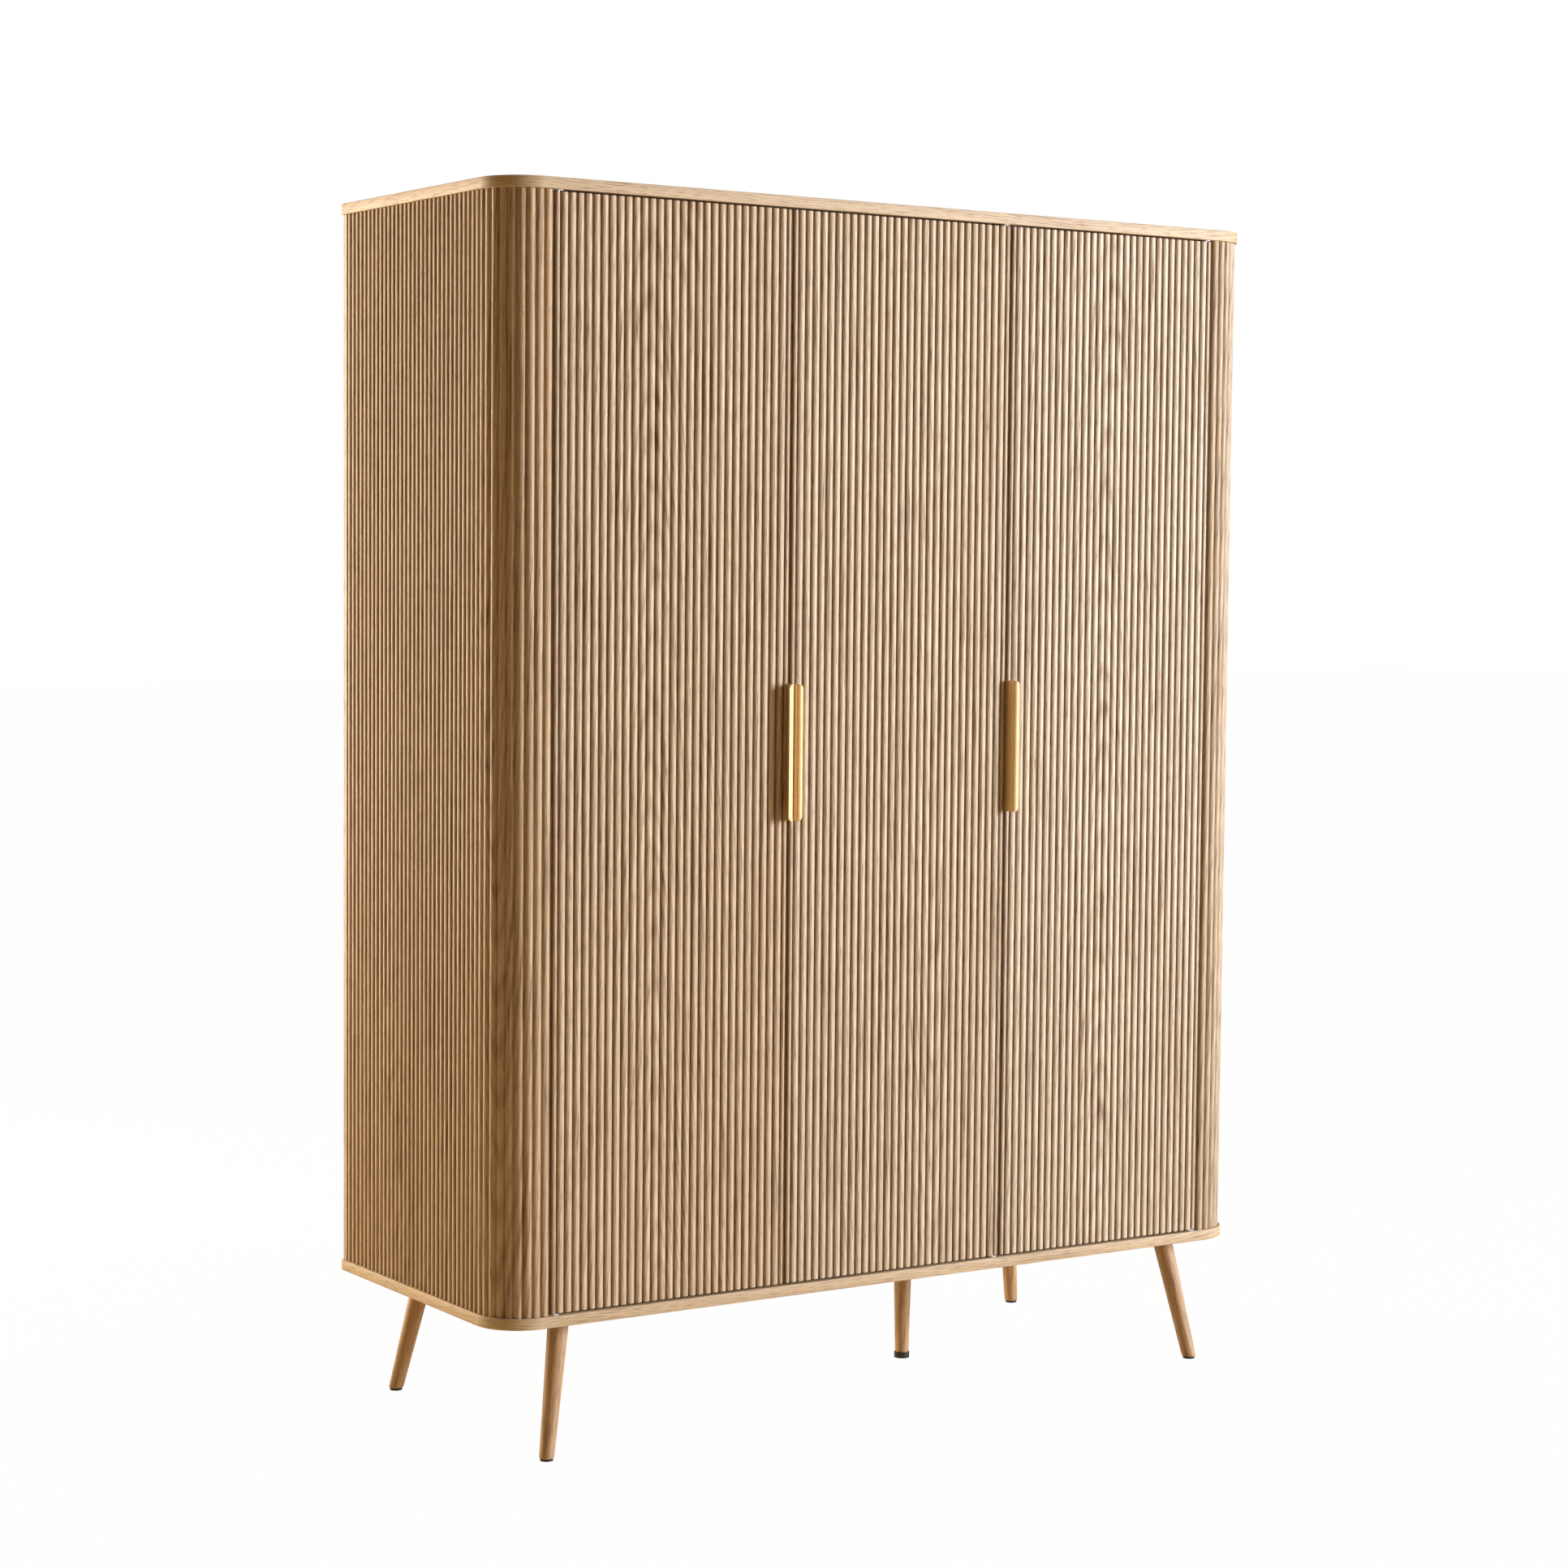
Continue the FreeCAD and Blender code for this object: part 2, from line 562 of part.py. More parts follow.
def joint_fittings():
    """Cam bolts, cam discs and dowels that hold the uprights to both slabs."""
    bolts, discs, dowels = [], [], []
    bolt_length = "(cam_bolt_hold + cam_setback - cam_radius + cam_grip)"
    for centre, face, way in uprights():
        for side in (-1, 1):
            y = f"({JOINT_Y} + {side} * joint_spread / 2)"
            dowel_y = f"({y} + {side} * joint_step)"
            bolts.append(rod((centre, y, f"{FLOOR_Z} - cam_bolt_hold"), "cam_bolt_radius",
                             bolt_length))
            bolts.append(rod((centre, y, f"{CEILING_Z} + cam_bolt_hold - {bolt_length}"),
                             "cam_bolt_radius", bolt_length))
            dowels.append(rod((centre, dowel_y, f"{FLOOR_Z} - dowel_hold"), "dowel_radius",
                              "dowel_length"))
            dowels.append(rod((centre, dowel_y, f"{CEILING_Z} + dowel_hold - dowel_length"),
                              "dowel_radius", "dowel_length"))
            start = face if way > 0 else f"{face} - cam_depth"
            for z in (f"{FLOOR_Z} + cam_setback", f"{CEILING_Z} - cam_setback"):
                discs.append(rod((start, y, z), "cam_radius", "cam_depth", "x"))
    return group(bolts), group(discs), group(dowels)


def shelf_heights():
    """Underside of each shelf in the right-hand compartment, from the bottom up."""
    count = int(size("shelf_count"))
    room = f"({INSIDE_HEIGHT} - shelf_count * board_thickness) / (shelf_count + 1)"
    return [f"({FLOOR_Z} + {index} * ({room}) + {index - 1} * board_thickness)"
            for index in range(1, count + 1)]


def shelf(left, right, underside):
    """Loose shelf between two uprights."""
    return box((f"{left} + shelf_play", SHELF_FRONT, underside),
               (f"{right} - {left} - 2 * shelf_play", f"{PANEL_FRONT} - {SHELF_FRONT} - shelf_play",
                "board_thickness"))


def shelf_pins(left, right, underside):
    """Four pins under one shelf, two in each upright."""
    items = []
    z = f"{underside} - shelf_pin_radius"
    for y in (f"{SHELF_FRONT} + shelf_pin_inset", f"{PANEL_FRONT} - shelf_pin_inset"):
        for x in (f"{left} - shelf_pin_hole", f"{right} - shelf_pin_reach"):
            items.append(rod((x, y, z), "shelf_pin_radius", "shelf_pin_hole + shelf_pin_reach",
                             "x"))
    return items


def clothes_rail():
    """Round steel tube across the left-hand compartment."""
    start = f"-{SIDE_INNER} + socket_flange"
    length = f"{PARTITION_LEFT} + {SIDE_INNER} - 2 * socket_flange"
    outer = rod((start, RAIL_Y, RAIL_Z), "rail_radius", length, "x")
    inner = rod((start, RAIL_Y, RAIL_Z), "rail_radius - rail_wall", length, "x")
    return cut(outer, [inner])


def rail_sockets():
    """Flanged cup at each end of the clothes rail."""
    items = []
    for face, way in ((f"-{SIDE_INNER}", 1), (PARTITION_LEFT, -1)):
        flange_x, flange_length = span(face, way, "0", "socket_flange")
        cup_x, cup_length = span(face, way, "socket_flange", "socket_depth")
        flange = rod((flange_x, RAIL_Y, RAIL_Z), "socket_radius", flange_length, "x")
        cup = rod((cup_x, RAIL_Y, RAIL_Z), "rail_radius + socket_fit + socket_wall",
                  cup_length, "x")
        hollow = rod((cup_x, RAIL_Y, RAIL_Z), "rail_radius + socket_fit", cup_length, "x")
        items.append(cut(fuse([flange, cup]), [hollow]))
    return group(items)


def leg_top(side, end):
    """Where a corner leg's axis meets the bottom slab."""
    return (f"{side} * (overall_width / 2 - leg_inset_x)",
            f"{MIDDLE_Y} + {end} * (overall_depth / 2 - leg_inset_y)")


def corner_leg(side, end):
    """Round tapered leg that leans outwards, trimmed level at the plate and at the glide."""
    lean_x, lean_y = side * size("leg_splay_x"), end * size("leg_splay_y")
    fall = size("leg_height")
    down = FreeCAD.Vector(lean_x, lean_y, -fall)
    cone = doc.addObject("Part::Cone", "leg")
    bind(cone, "Radius1", "leg_top_radius")
    bind(cone, "Radius2", "leg_foot_radius")
    bind(cone, "Height", "sqrt(leg_height ^ 2 + leg_splay_x ^ 2 + leg_splay_y ^ 2)")
    cone.Placement = FreeCAD.Placement(FreeCAD.Vector(),
                                       FreeCAD.Rotation(FreeCAD.Vector(0, 0, 1), down))
    x, y = leg_top(side, end)
    place(cone, x, y, LEG_TOP_Z)
    reach = "(leg_top_radius + leg_splay_x + leg_splay_y)"
    window = box((f"{x} - {reach}", f"{y} - {reach}", "glide_height"),
                 (f"2 * {reach}", f"2 * {reach}", "leg_height - glide_height"))
    level = doc.addObject("Part::MultiCommon", "leg")
    level.Shapes = [long_leg(cone, down, x, y), window]
    return level


def long_leg(cone, down, x, y):
    """The leg's cone with a short stub above it, so that its top trims level."""
    stub = doc.addObject("Part::Cylinder", "stub")
    bind(stub, "Radius", "leg_top_radius")
    bind(stub, "Height", "leg_top_radius")
    stub.Placement = FreeCAD.Placement(FreeCAD.Vector(),
                                       FreeCAD.Rotation(FreeCAD.Vector(0, 0, 1), down * -1))
    place(stub, x, y, LEG_TOP_Z)
    return fuse([cone, stub])


def centre_leg():
    """Upright leg under the partition."""
    return taper((PARTITION_X, f"{MIDDLE_Y} + centre_leg_set", "centre_glide_height"),
                 ("leg_foot_radius", "leg_top_radius"), "leg_height - centre_glide_height")


def corner_glide(side, end):
    """Black disc under a corner leg."""
    x, y = leg_top(side, end)
    share = "(1 - glide_height / leg_height)"
    return rod((f"{x} + {side} * leg_splay_x * {share}", f"{y} + {end} * leg_splay_y * {share}",
                "0"), "glide_radius", "glide_height")


def leg_places():
    """Plan position of every leg's top: four corners and the centre."""
    corners = [leg_top(side, end) for side in (-1, 1) for end in (-1, 1)]
    return corners + [(PARTITION_X, f"{MIDDLE_Y} + centre_leg_set")]


def leg_plate(x, y):
    """Square steel plate let into the slab's underside."""
    return box((f"{x} - leg_plate_side / 2", f"{y} - leg_plate_side / 2", "leg_height"),
               ("leg_plate_side", "leg_plate_side", "leg_plate_thickness"))


def leg_bolt(x, y, down):
    """Stud from the plate down the middle of a leg, along the leg's axis."""
    stud = rod((x, y, "leg_height"), "leg_bolt_radius", "leg_bolt_length")
    stud.Placement.Rotation = FreeCAD.Rotation(FreeCAD.Vector(0, 0, 1), down)
    room = box((f"{x} - leg_plate_side", f"{y} - leg_plate_side", "0"),
               ("2 * leg_plate_side", "2 * leg_plate_side", "leg_height"))
    level = doc.addObject("Part::MultiCommon", "stud")
    level.Shapes = [stud, room]
    return level


def leg_directions():
    """The way each leg's axis runs from slab to floor."""
    corners = [FreeCAD.Vector(side * size("leg_splay_x"), end * size("leg_splay_y"),
                              -size("leg_height")) for side in (-1, 1) for end in (-1, 1)]
    return corners + [FreeCAD.Vector(0, 0, -1)]


def wood_screws():
    """Four screws up through each leg plate and one through each wall bracket."""
    inset = "(leg_plate_side / 2 - leg_plate_screw_inset)"
    items = [screw((f"{side} * bracket_spread / 2", f"{PANEL_FRONT} - bracket_side / 2",
                    f"{CEILING_Z} - bracket_thickness"), 1) for side in (-1, 1)]
    for x, y in leg_places():
        for sx in (-1, 1):
            for sy in (-1, 1):
                items.append(screw((f"{x} + {sx} * {inset}", f"{y} + {sy} * {inset}",
                                    "leg_height"), 1))
    return group(items)


def wall_brackets():
    """Two steel angles inside the top rear edge, for screws into a wall."""
    items, holes = [], []
    for side in (-1, 1):
        x = f"({side} * bracket_spread / 2)"
        low = f"{x} - bracket_side / 2"
        top = box((low, f"{PANEL_FRONT} - bracket_side", f"{CEILING_Z} - bracket_thickness"),
                  ("bracket_side", "bracket_side", "bracket_thickness"))
        drop = box((low, f"{PANEL_FRONT} - bracket_thickness", f"{CEILING_Z} - bracket_side"),
                   ("bracket_side", "bracket_thickness", "bracket_side"))
        hole = rod((x, f"{PANEL_FRONT} - bracket_side", f"{CEILING_Z} - bracket_hole_drop"),
                   "bracket_hole", "2 * bracket_side", "y")
        items.append(cut(fuse([top, drop]), [hole]))
        holes.append(hole)
    return group(items), group(holes)


def back_panel(left, right):
    """Thin panel that runs into the grooves of both slabs."""
    return box((left, PANEL_FRONT, f"{FLOOR_Z} - groove_depth"),
               (f"{right} - ({left})", "back_thickness", f"{INSIDE_HEIGHT} + 2 * groove_depth"))


def carcass(hinges, free_edges):
    """Every fixed piece."""
    bolts, discs, dowels = joint_fittings()
    pins = []
    heights = shelf_heights()
    for underside in heights:
        pins += shelf_pins(PARTITION_RIGHT, SIDE_INNER, underside)
    pins += shelf_pins(f"-{SIDE_INNER}", PARTITION_LEFT, HAT_SHELF_Z)
    pins = group(pins)
    brackets, wall_holes = wall_brackets()
    plates = group([leg_plate(x, y) for x, y in leg_places()])
    screws = wood_screws()
    lower_bushes = group([bush(axis_x, FLOOR_Z, False) for axis_x in hinges])
    upper_bushes = group([bush(axis_x, CEILING_Z, True) for axis_x in hinges])
    groove_end = f"({SIDE_INNER} + groove_depth)"
    panel_joint = f"(-{DOOR_STEP} / 2)"
    panels = [cut(back_panel(left, right), [wall_holes]) for left, right in
              ((f"-{groove_end}", panel_joint), (panel_joint, PARTITION_X),
               (PARTITION_X, groove_end))]
    upper_seats = bush_seats(hinges, CEILING_Z, True)
    lower_seats = bush_seats(hinges, FLOOR_Z, False)
    node("top_slab", cut(slab(CEILING_Z), [bolts, dowels, upper_seats, screws, *panels]))
    node("bottom_slab", cut(slab("leg_height"), [bolts, dowels, lower_seats, plates, screws,
                                                 *panels]))
    board_depth = f"{BACK} - {CORNER_Y}"
    for name, low_x, panel in (("left", f"-{SKIN_FACE}", panels[0]),
                               ("right", SIDE_INNER, panels[2])):
        blank = box((low_x, CORNER_Y, FLOOR_Z), ("side_board", board_depth, INSIDE_HEIGHT))
        node(f"{name}_side_board", cut(blank, [bolts, dowels, discs, pins, panel]))
        node(f"{name}_fluted_skin", fluted_skin(name == "left"))
        node(f"{name}_corner_post", corner_post(name == "left"))
    front = f"({DOOR_BACK} + door_relief)"
    blank = box((PARTITION_LEFT, front, FLOOR_Z),
                ("board_thickness", f"{PANEL_FRONT} - {front}", INSIDE_HEIGHT))
    node("partition", cut(blank, [bolts, dowels, discs, pins]))
    for name, panel in zip(("left", "middle", "right"), panels):
        node(f"{name}_back_panel", panel)
    node("back_joining_strip",
         box((f"{panel_joint} - batten_width / 2", f"{PANEL_FRONT} - batten_thickness", FLOOR_Z),
             ("batten_width", "batten_thickness", INSIDE_HEIGHT)))
    hat = shelf(f"-{SIDE_INNER}", PARTITION_LEFT, HAT_SHELF_Z)
    notch = box((f"{panel_joint} - batten_width / 2 - batten_room",
                 f"{PANEL_FRONT} - batten_thickness - batten_room", HAT_SHELF_Z),
                ("batten_width + 2 * batten_room", "batten_thickness + batten_room",
                 "board_thickness"))
    node("hat_shelf", cut(hat, [notch]))
    for name, underside in zip(("lower", "lower_middle", "upper_middle", "upper"), heights):
        node(f"{name}_shelf", shelf(PARTITION_RIGHT, SIDE_INNER, underside))
    node("shelf_pins", pins)
    node("clothes_rail", clothes_rail())
    node("rail_sockets", rail_sockets())
    directions = leg_directions()
    studs = [leg_bolt(x, y, down) for (x, y), down in zip(leg_places(), directions)]
    legs = [corner_leg(side, end) for side in (-1, 1) for end in (-1, 1)] + [centre_leg()]
    names = ("front_left_leg", "back_left_leg", "front_right_leg", "back_right_leg", "centre_leg")
    for name, leg, stud in zip(names, legs, studs):
        node(name, cut(leg, [stud]))
    node("leg_bolts", group(studs))
    node("leg_plates", cut(plates, [screws]))
    node("wood_screws", screws)
    node("foot_glides", group([corner_glide(side, end) for side in (-1, 1) for end in (-1, 1)]))
    node("centre_foot_glide", rod((PARTITION_X, f"{MIDDLE_Y} + centre_leg_set", "0"),
                                  "centre_glide_radius", "centre_glide_height"))
    node("bottom_pivot_bushes", lower_bushes)
    node("top_pivot_bushes", upper_bushes)
    node("magnetic_catches", group([catch(edge, way) for edge, way in free_edges]))
    node("door_stops", group([door_stop(edge, way) for edge, way in free_edges]))
    node("cam_discs", cut(discs, [bolts]))
    node("cam_bolts", bolts)
    node("dowels", dowels)
    node("wall_brackets", cut(brackets, [screws]))


def check_objects():
    """Stop if any object failed to compute or any sub-part is not a valid shape."""
    for item in doc.Objects:
        if "Invalid" in item.State or "Error" in item.State:
            raise RuntimeError(f"{item.Name} ({item.Label}) did not compute: {item.State}")
    for item in nodes:
        if item.Shape.isNull() or not item.Shape.isValid() or not item.Shape.Solids:
            raise RuntimeError(f"{item.Label} has no valid solid")


def main():
    """Build the document and write one STEP file for each sub-part."""
    doors = (("left", -1, -1), ("middle", 0, 1), ("right", 1, 1))
    hinges, free_edges = [], []
    for name, position, hinge_way in doors:
        axis_x, free_edge = door(name, position, hinge_way)
        hinges.append(axis_x)
        free_edges.append((free_edge, hinge_way))
    carcass(hinges, free_edges)
    doc.recompute()
    check_objects()
    os.makedirs("parts", exist_ok=True)
    for item in nodes:
        item.Shape.exportStep(f"parts/{item.Label}.step")
        bounds = item.Shape.BoundBox
        print(f"{item.Label:28s} {len(item.Shape.Solids):3d} solids "
              f"{item.Shape.Volume / 1e3:10.1f} cm3  "
              f"x {bounds.XMin:8.2f} {bounds.XMax:8.2f}  y {bounds.YMin:8.2f} {bounds.YMax:8.2f}  "
              f"z {bounds.ZMin:8.2f} {bounds.ZMax:8.2f}")
    print(len(nodes), "nodes")


main()
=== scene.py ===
# %% [markdown]
# # A reeded oak wardrobe, dressed piece by piece
# The wardrobe is a box of board on splayed legs.  Its three doors and its sides are covered
# with upright rounded reeds, and the reeds carry on round the two front corners.  The
# joiner's model gives every board its place.  These cells give the pieces the finer shape
# and the finish that the eye looks for: round reeds, banded edges, turned legs, folded
# brass pulls, and oak whose figure runs on from reed to reed.

# %% Load the fixed frame
import json
import math

import bmesh
import bpy
from mathutils import Matrix, Vector, noise


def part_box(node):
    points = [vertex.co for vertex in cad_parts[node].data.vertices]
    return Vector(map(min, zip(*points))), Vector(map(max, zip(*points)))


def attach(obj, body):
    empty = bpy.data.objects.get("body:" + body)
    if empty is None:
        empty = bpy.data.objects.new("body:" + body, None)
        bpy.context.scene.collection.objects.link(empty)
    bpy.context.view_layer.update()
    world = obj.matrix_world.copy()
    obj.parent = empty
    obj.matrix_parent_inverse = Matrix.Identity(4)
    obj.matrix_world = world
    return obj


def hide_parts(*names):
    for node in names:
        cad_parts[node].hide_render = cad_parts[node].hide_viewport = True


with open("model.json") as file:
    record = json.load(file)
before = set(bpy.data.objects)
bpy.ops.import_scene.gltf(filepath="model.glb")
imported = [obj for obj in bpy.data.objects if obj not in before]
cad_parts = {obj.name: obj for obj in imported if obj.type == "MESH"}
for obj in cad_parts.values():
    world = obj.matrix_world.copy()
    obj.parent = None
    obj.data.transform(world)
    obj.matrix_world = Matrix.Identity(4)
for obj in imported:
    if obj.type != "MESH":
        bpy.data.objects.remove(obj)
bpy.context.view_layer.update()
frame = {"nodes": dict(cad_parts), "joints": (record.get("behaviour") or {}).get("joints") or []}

MM = 0.001

# %% [markdown]
# ## Arithmetic for finishes
# A finish is a small network of nodes.  Reading a network is easier when it is written as
# a sum, so a Signal wraps one output socket and turns +, -, * and / into Math nodes, with
# numbers allowed on either side.  Every other node comes from one method, which is told
# the node's type, its settings, and what goes into its sockets.

# %% Signals and finishes
class Signal:
    """An output socket; arithmetic on it adds Math nodes."""

    def __init__(self, finish, socket):
        self.finish = finish
        self.socket = socket

    def math(self, operation, first, second=0.0, clamp=False):
        return self.finish.add("ShaderNodeMath", {"operation": operation, "use_clamp": clamp},
                               {0: first, 1: second})

    def __add__(self, other):
        return self.math("ADD", self, other)

    def __sub__(self, other):
        return self.math("SUBTRACT", self, other)

    def __rsub__(self, other):
        return self.math("SUBTRACT", other, self)

    def __mul__(self, other):
        return self.math("MULTIPLY", self, other)

    def __truediv__(self, other):
        return self.math("DIVIDE", self, other)

    def __pow__(self, other):
        return self.math("POWER", self, other)

    __radd__ = __add__

    def sine(self):
        return self.math("SINE", self)

    def root(self):
        return self.math("SQRT", self)

    def held(self):
        """The same value held between 0 and 1."""
        return self.math("ADD", self, 0.0, clamp=True)

    def out(self, name):
        """Another output of the same node."""
        return Signal(self.finish, self.socket.node.outputs[name])


class Finish:
    """The nodes of a material, or of the world, being built."""

    def __init__(self, owner):
        self.owner = owner
        owner.use_nodes = True
        self.tree = owner.node_tree
        self.tree.nodes.clear()

    def add(self, kind, settings=None, inputs=None, output=0):
        node = self.tree.nodes.new(kind)
        for key, value in (settings or {}).items():
            setattr(node, key, value)
        for key, value in (inputs or {}).items():
            if isinstance(value, Signal):
                self.tree.links.new(value.socket, node.inputs[key])
            else:
                node.inputs[key].default_value = value
        return Signal(self, node.outputs[output]) if node.outputs else None

    def noise(self, point, scale, detail=3.0, roughness=0.5):
        return self.add("ShaderNodeTexNoise", {}, {"Vector": point, "Scale": scale,
                                                   "Detail": detail, "Roughness": roughness})

    def mix(self, factor, first, second):
        """Colour between two colours."""
        return self.add("ShaderNodeMix", {"data_type": "RGBA"},
                        {0: factor, 6: first, 7: second}, output=2)

    def stretch(self, point, across, depth, along):
        """The point with each of its three directions scaled."""
        return self.add("ShaderNodeVectorMath", {"operation": "MULTIPLY"},
                        {0: point, 1: (across, depth, along)})

    def bump(self, height, distance, strength):
        return self.add("ShaderNodeBump", {}, {"Height": height, "Distance": distance,
                                               "Strength": strength})

    def close(self, **sockets):
        """End with one Principled surface, and give back the material."""
        names = {key.replace("_", " "): value for key, value in sockets.items()}
        surface = self.add("ShaderNodeBsdfPrincipled", {}, names)
        self.add("ShaderNodeOutputMaterial", {}, {"Surface": surface})
        return self.owner


def new_finish(name):
    """An empty material to build."""
    return Finish(bpy.data.materials.new(name))


def darker(colour, share):
    """The same colour with less light in it."""
    return tuple(value * share for value in colour[:3]) + (1.0,)


def paint(red, green, blue):
    """A colour given as a paint maker gives it, 0 to 255, turned to light values."""
    def linear(value):
        share = value / 255
        return share / 12.92 if share <= 0.04045 else ((share + 0.055) / 1.055) ** 2.4
    return (linear(red), linear(green), linear(blue), 1.0)


print("arithmetic ready")

# %% [markdown]
# ## Oak
# The skin of the wardrobe is light oak with a matt lacquer.  What makes oak read as oak is
# how the board was cut from the tree: growth rings are cones round the heart, and a flat
# board cuts them in long nested arches up the middle and close straight lines at the
# sides.  So the finish works out how far each point is from a leaning heart line and
# colours the rings by that distance.  Early wood is full of pores, seen as short dark
# dashes along the grain, and those dashes are pressed in a little as well.  The points
# come in as across, depth and along the grain.
#
# The lamps alone leave the valleys between reeds lighter than real valleys look, so they
# are also painted brown.  This shade is a stand-in, not a stain on the wood.  The deeper
# a point lies, the browner it is, with a ragged edge.  The shade stops below the valleys,
# so the back of a door stays pale, and it is weak round a bend, where the valleys open.

# %% Oak in any direction of grain
PALE_OAK = paint(206, 179, 144)
WARM_OAK = paint(168, 134, 96)
PORE_BROWN = paint(104, 70, 40)
VALLEY_BROWN = paint(84, 54, 28)
RING_WIDTH = 4.6 * MM
BROAD_RINGS = 4.3
REED_DEPTH = 4 * MM

# how often each pattern repeats in a metre: across, in depth and along the grain
SWELL = (5, 5, 0.9)
WANDER = (22, 8, 2.2)
FIBRES = (420, 420, 7)
STREAKS = (115, 115, 5.5)
DASHES = (900, 900, 30)
TORN_EDGE = (240, 240, 40)

# the painted shade in the valleys: its strength, its edge, and its end in reed depths
SHADE = 0.92
SHADE_RAGGED = 0.65
SHADE_CURVE = 1.25
SHADE_END = 1.7
SHADE_END_SLOPE = 4

# round a bend: how far the weak shade reaches, how fast it recovers, and the share left
BEND_REACH = 45 * MM
BEND_FADE = 15
BEND_SHADE = 0.2


def grain_point(finish, grain, shift):
    """Across, depth and along the grain, moved so that each board is cut elsewhere."""
    if grain == "carried":
        point = finish.add("ShaderNodeAttribute", {"attribute_name": "grain"}, output="Vector")
    else:
        point = finish.add("ShaderNodeTexCoord", output="Object")
        parts = finish.add("ShaderNodeSeparateXYZ", {}, {0: point})
        order = {"up": "XYZ", "sideways": "YZX"}[grain]
        point = finish.add("ShaderNodeCombineXYZ", {},
                           {place: parts.out(name) for place, name in enumerate(order)})
    return finish.add("ShaderNodeVectorMath", {"operation": "ADD"}, {0: point, 1: shift})


def oak(name, grain="up", shift=(0, 0, 0), heart=0.07, lean=0.055, reed_top=None,
        pale=PALE_OAK, warm=WARM_OAK, figure=1.0, bend=None):
    """Light oak.  heart and lean place the tree's heart line, and figure is its strength.
    reed_top is the depth reading at the crests of the reeds, and bend the reading across
    at the middle of a bend, each only where there is one."""
    finish = new_finish(name)
    point = grain_point(finish, grain, shift)
    slow = finish.noise(finish.stretch(point, *SWELL), 1.0, detail=2.0)
    wander = finish.noise(finish.stretch(point, *WANDER), 1.0, detail=3.0)
    parts = finish.add("ShaderNodeSeparateXYZ", {}, {0: point})
    across = parts.out("X") + (slow - 0.5) * 0.13 + (wander - 0.5) * 0.014
    depth = parts.out("Z") * lean + heart + (slow - 0.5) * 0.05
    radius = (across * across + depth * depth).root()
    ring = ((radius * (2 * math.pi / RING_WIDTH)).sine() * 0.5 + 0.5) ** 2
    broad = (radius * (2 * math.pi / (RING_WIDTH * BROAD_RINGS)) + slow * 5).sine() * 0.5 + 0.5
    fibre = finish.noise(finish.stretch(point, *FIBRES), 1.0, detail=4.0, roughness=0.65)
    streak = finish.noise(finish.stretch(point, *STREAKS), 1.0, detail=4.0, roughness=0.6)
    dash = finish.noise(finish.stretch(point, *DASHES), 1.0, detail=2.0)
    pores = ((dash - 0.56 + ring * 0.05) * 9).held()
    dark_streak = ((streak - 0.54) * 7).held()
    tone = (ring * 0.38 * figure + broad * 0.20 * figure + (fibre - 0.5) * 0.7
            + dark_streak * 0.42 * figure + (slow - 0.45) * 0.4).held()
    colour = finish.mix(tone, pale, warm)
    colour = finish.mix((pores * 0.50 + dark_streak * (ring * 0.4 + 0.14) * figure).held(),
                        colour, PORE_BROWN)
    if reed_top is not None:
        ragged = finish.noise(finish.stretch(point, *TORN_EDGE), 1.0, detail=5.0,
                              roughness=0.65)
        down = (parts.out("Y") - (reed_top + shift[1])) / REED_DEPTH
        sunk = (down + (ragged - 0.5) * SHADE_RAGGED).held()
        dark = sunk ** SHADE_CURVE * ((SHADE_END - down) * SHADE_END_SLOPE).held() * SHADE
        if bend is not None:
            past = finish.add("ShaderNodeMath", {"operation": "ABSOLUTE"},
                              {0: parts.out("X") - (bend + shift[0])})
            dark = dark * (((past - BEND_REACH) * BEND_FADE).held() * (1 - BEND_SHADE)
                           + BEND_SHADE)
        colour = finish.mix(dark, colour, VALLEY_BROWN)
    height = (fibre - pores * 0.9 - ring * 0.25)
    return finish.close(Base_Color=colour, Roughness=(0.46 + fibre * 0.16 + pores * 0.1),
                        Normal=finish.bump(height, 0.12 * MM, 0.55), Specular_IOR_Level=0.42)


print("oak ready, rings", round(RING_WIDTH / MM, 1), "mm apart")

# %% [markdown]
# ## Reeds
# A reed is a strip with a round front.  Seen from its end it is a shallow arc, a little
# over 14 mm wide and 4 mm high, and where two arcs meet there is a sharp dark valley.  A
# row of reeds is therefore one outline, a chain of arcs, carried straight up.  Running
# the outline up in many short steps lets each reed wander by up to a fifth of a
# millimetre, as sanded wood does, so that highlights are never ruler straight.

# %% Outline of a row of reeds
REED_STEPS = 10
REED_PITCH = 14.35 * MM
EDGE_REED_DEPTH = 3 * MM


class Spot:
    """One point of an outline: its place, the way out, and its grain reading."""

    def __init__(self, place, outward, across, depth, loose=False):
        self.place = place
        self.outward = outward.normalized()
        self.across = across
        self.depth = depth
        self.loose = loose


def reed_spots(start, end, outward, height, run):
    """Arc of one reed between two valleys; run is the way along the row at its start."""
    width = (end - start).length
    along = (end - start).normalized()
    radius = (width * width / 4 + height * height) / (2 * height)
    half = math.asin(min(1.0, width / 2 / radius))
    middle = (start + end) / 2
    spots = []
    for step in range(REED_STEPS):
        angle = half * (2 * step / REED_STEPS - 1)
        rise = radius * math.cos(angle) - (radius - height)
        spots.append(Spot(middle + along * radius * math.sin(angle) + outward * rise,
                          along * math.sin(angle) + outward * math.cos(angle),
                          run + width * (0.5 + math.sin(angle) * radius / width),
                          REED_DEPTH - rise, loose=step > 0))
    return spots


print(REED_STEPS, "steps to a reed, pitch", round(REED_PITCH / MM, 2), "mm")

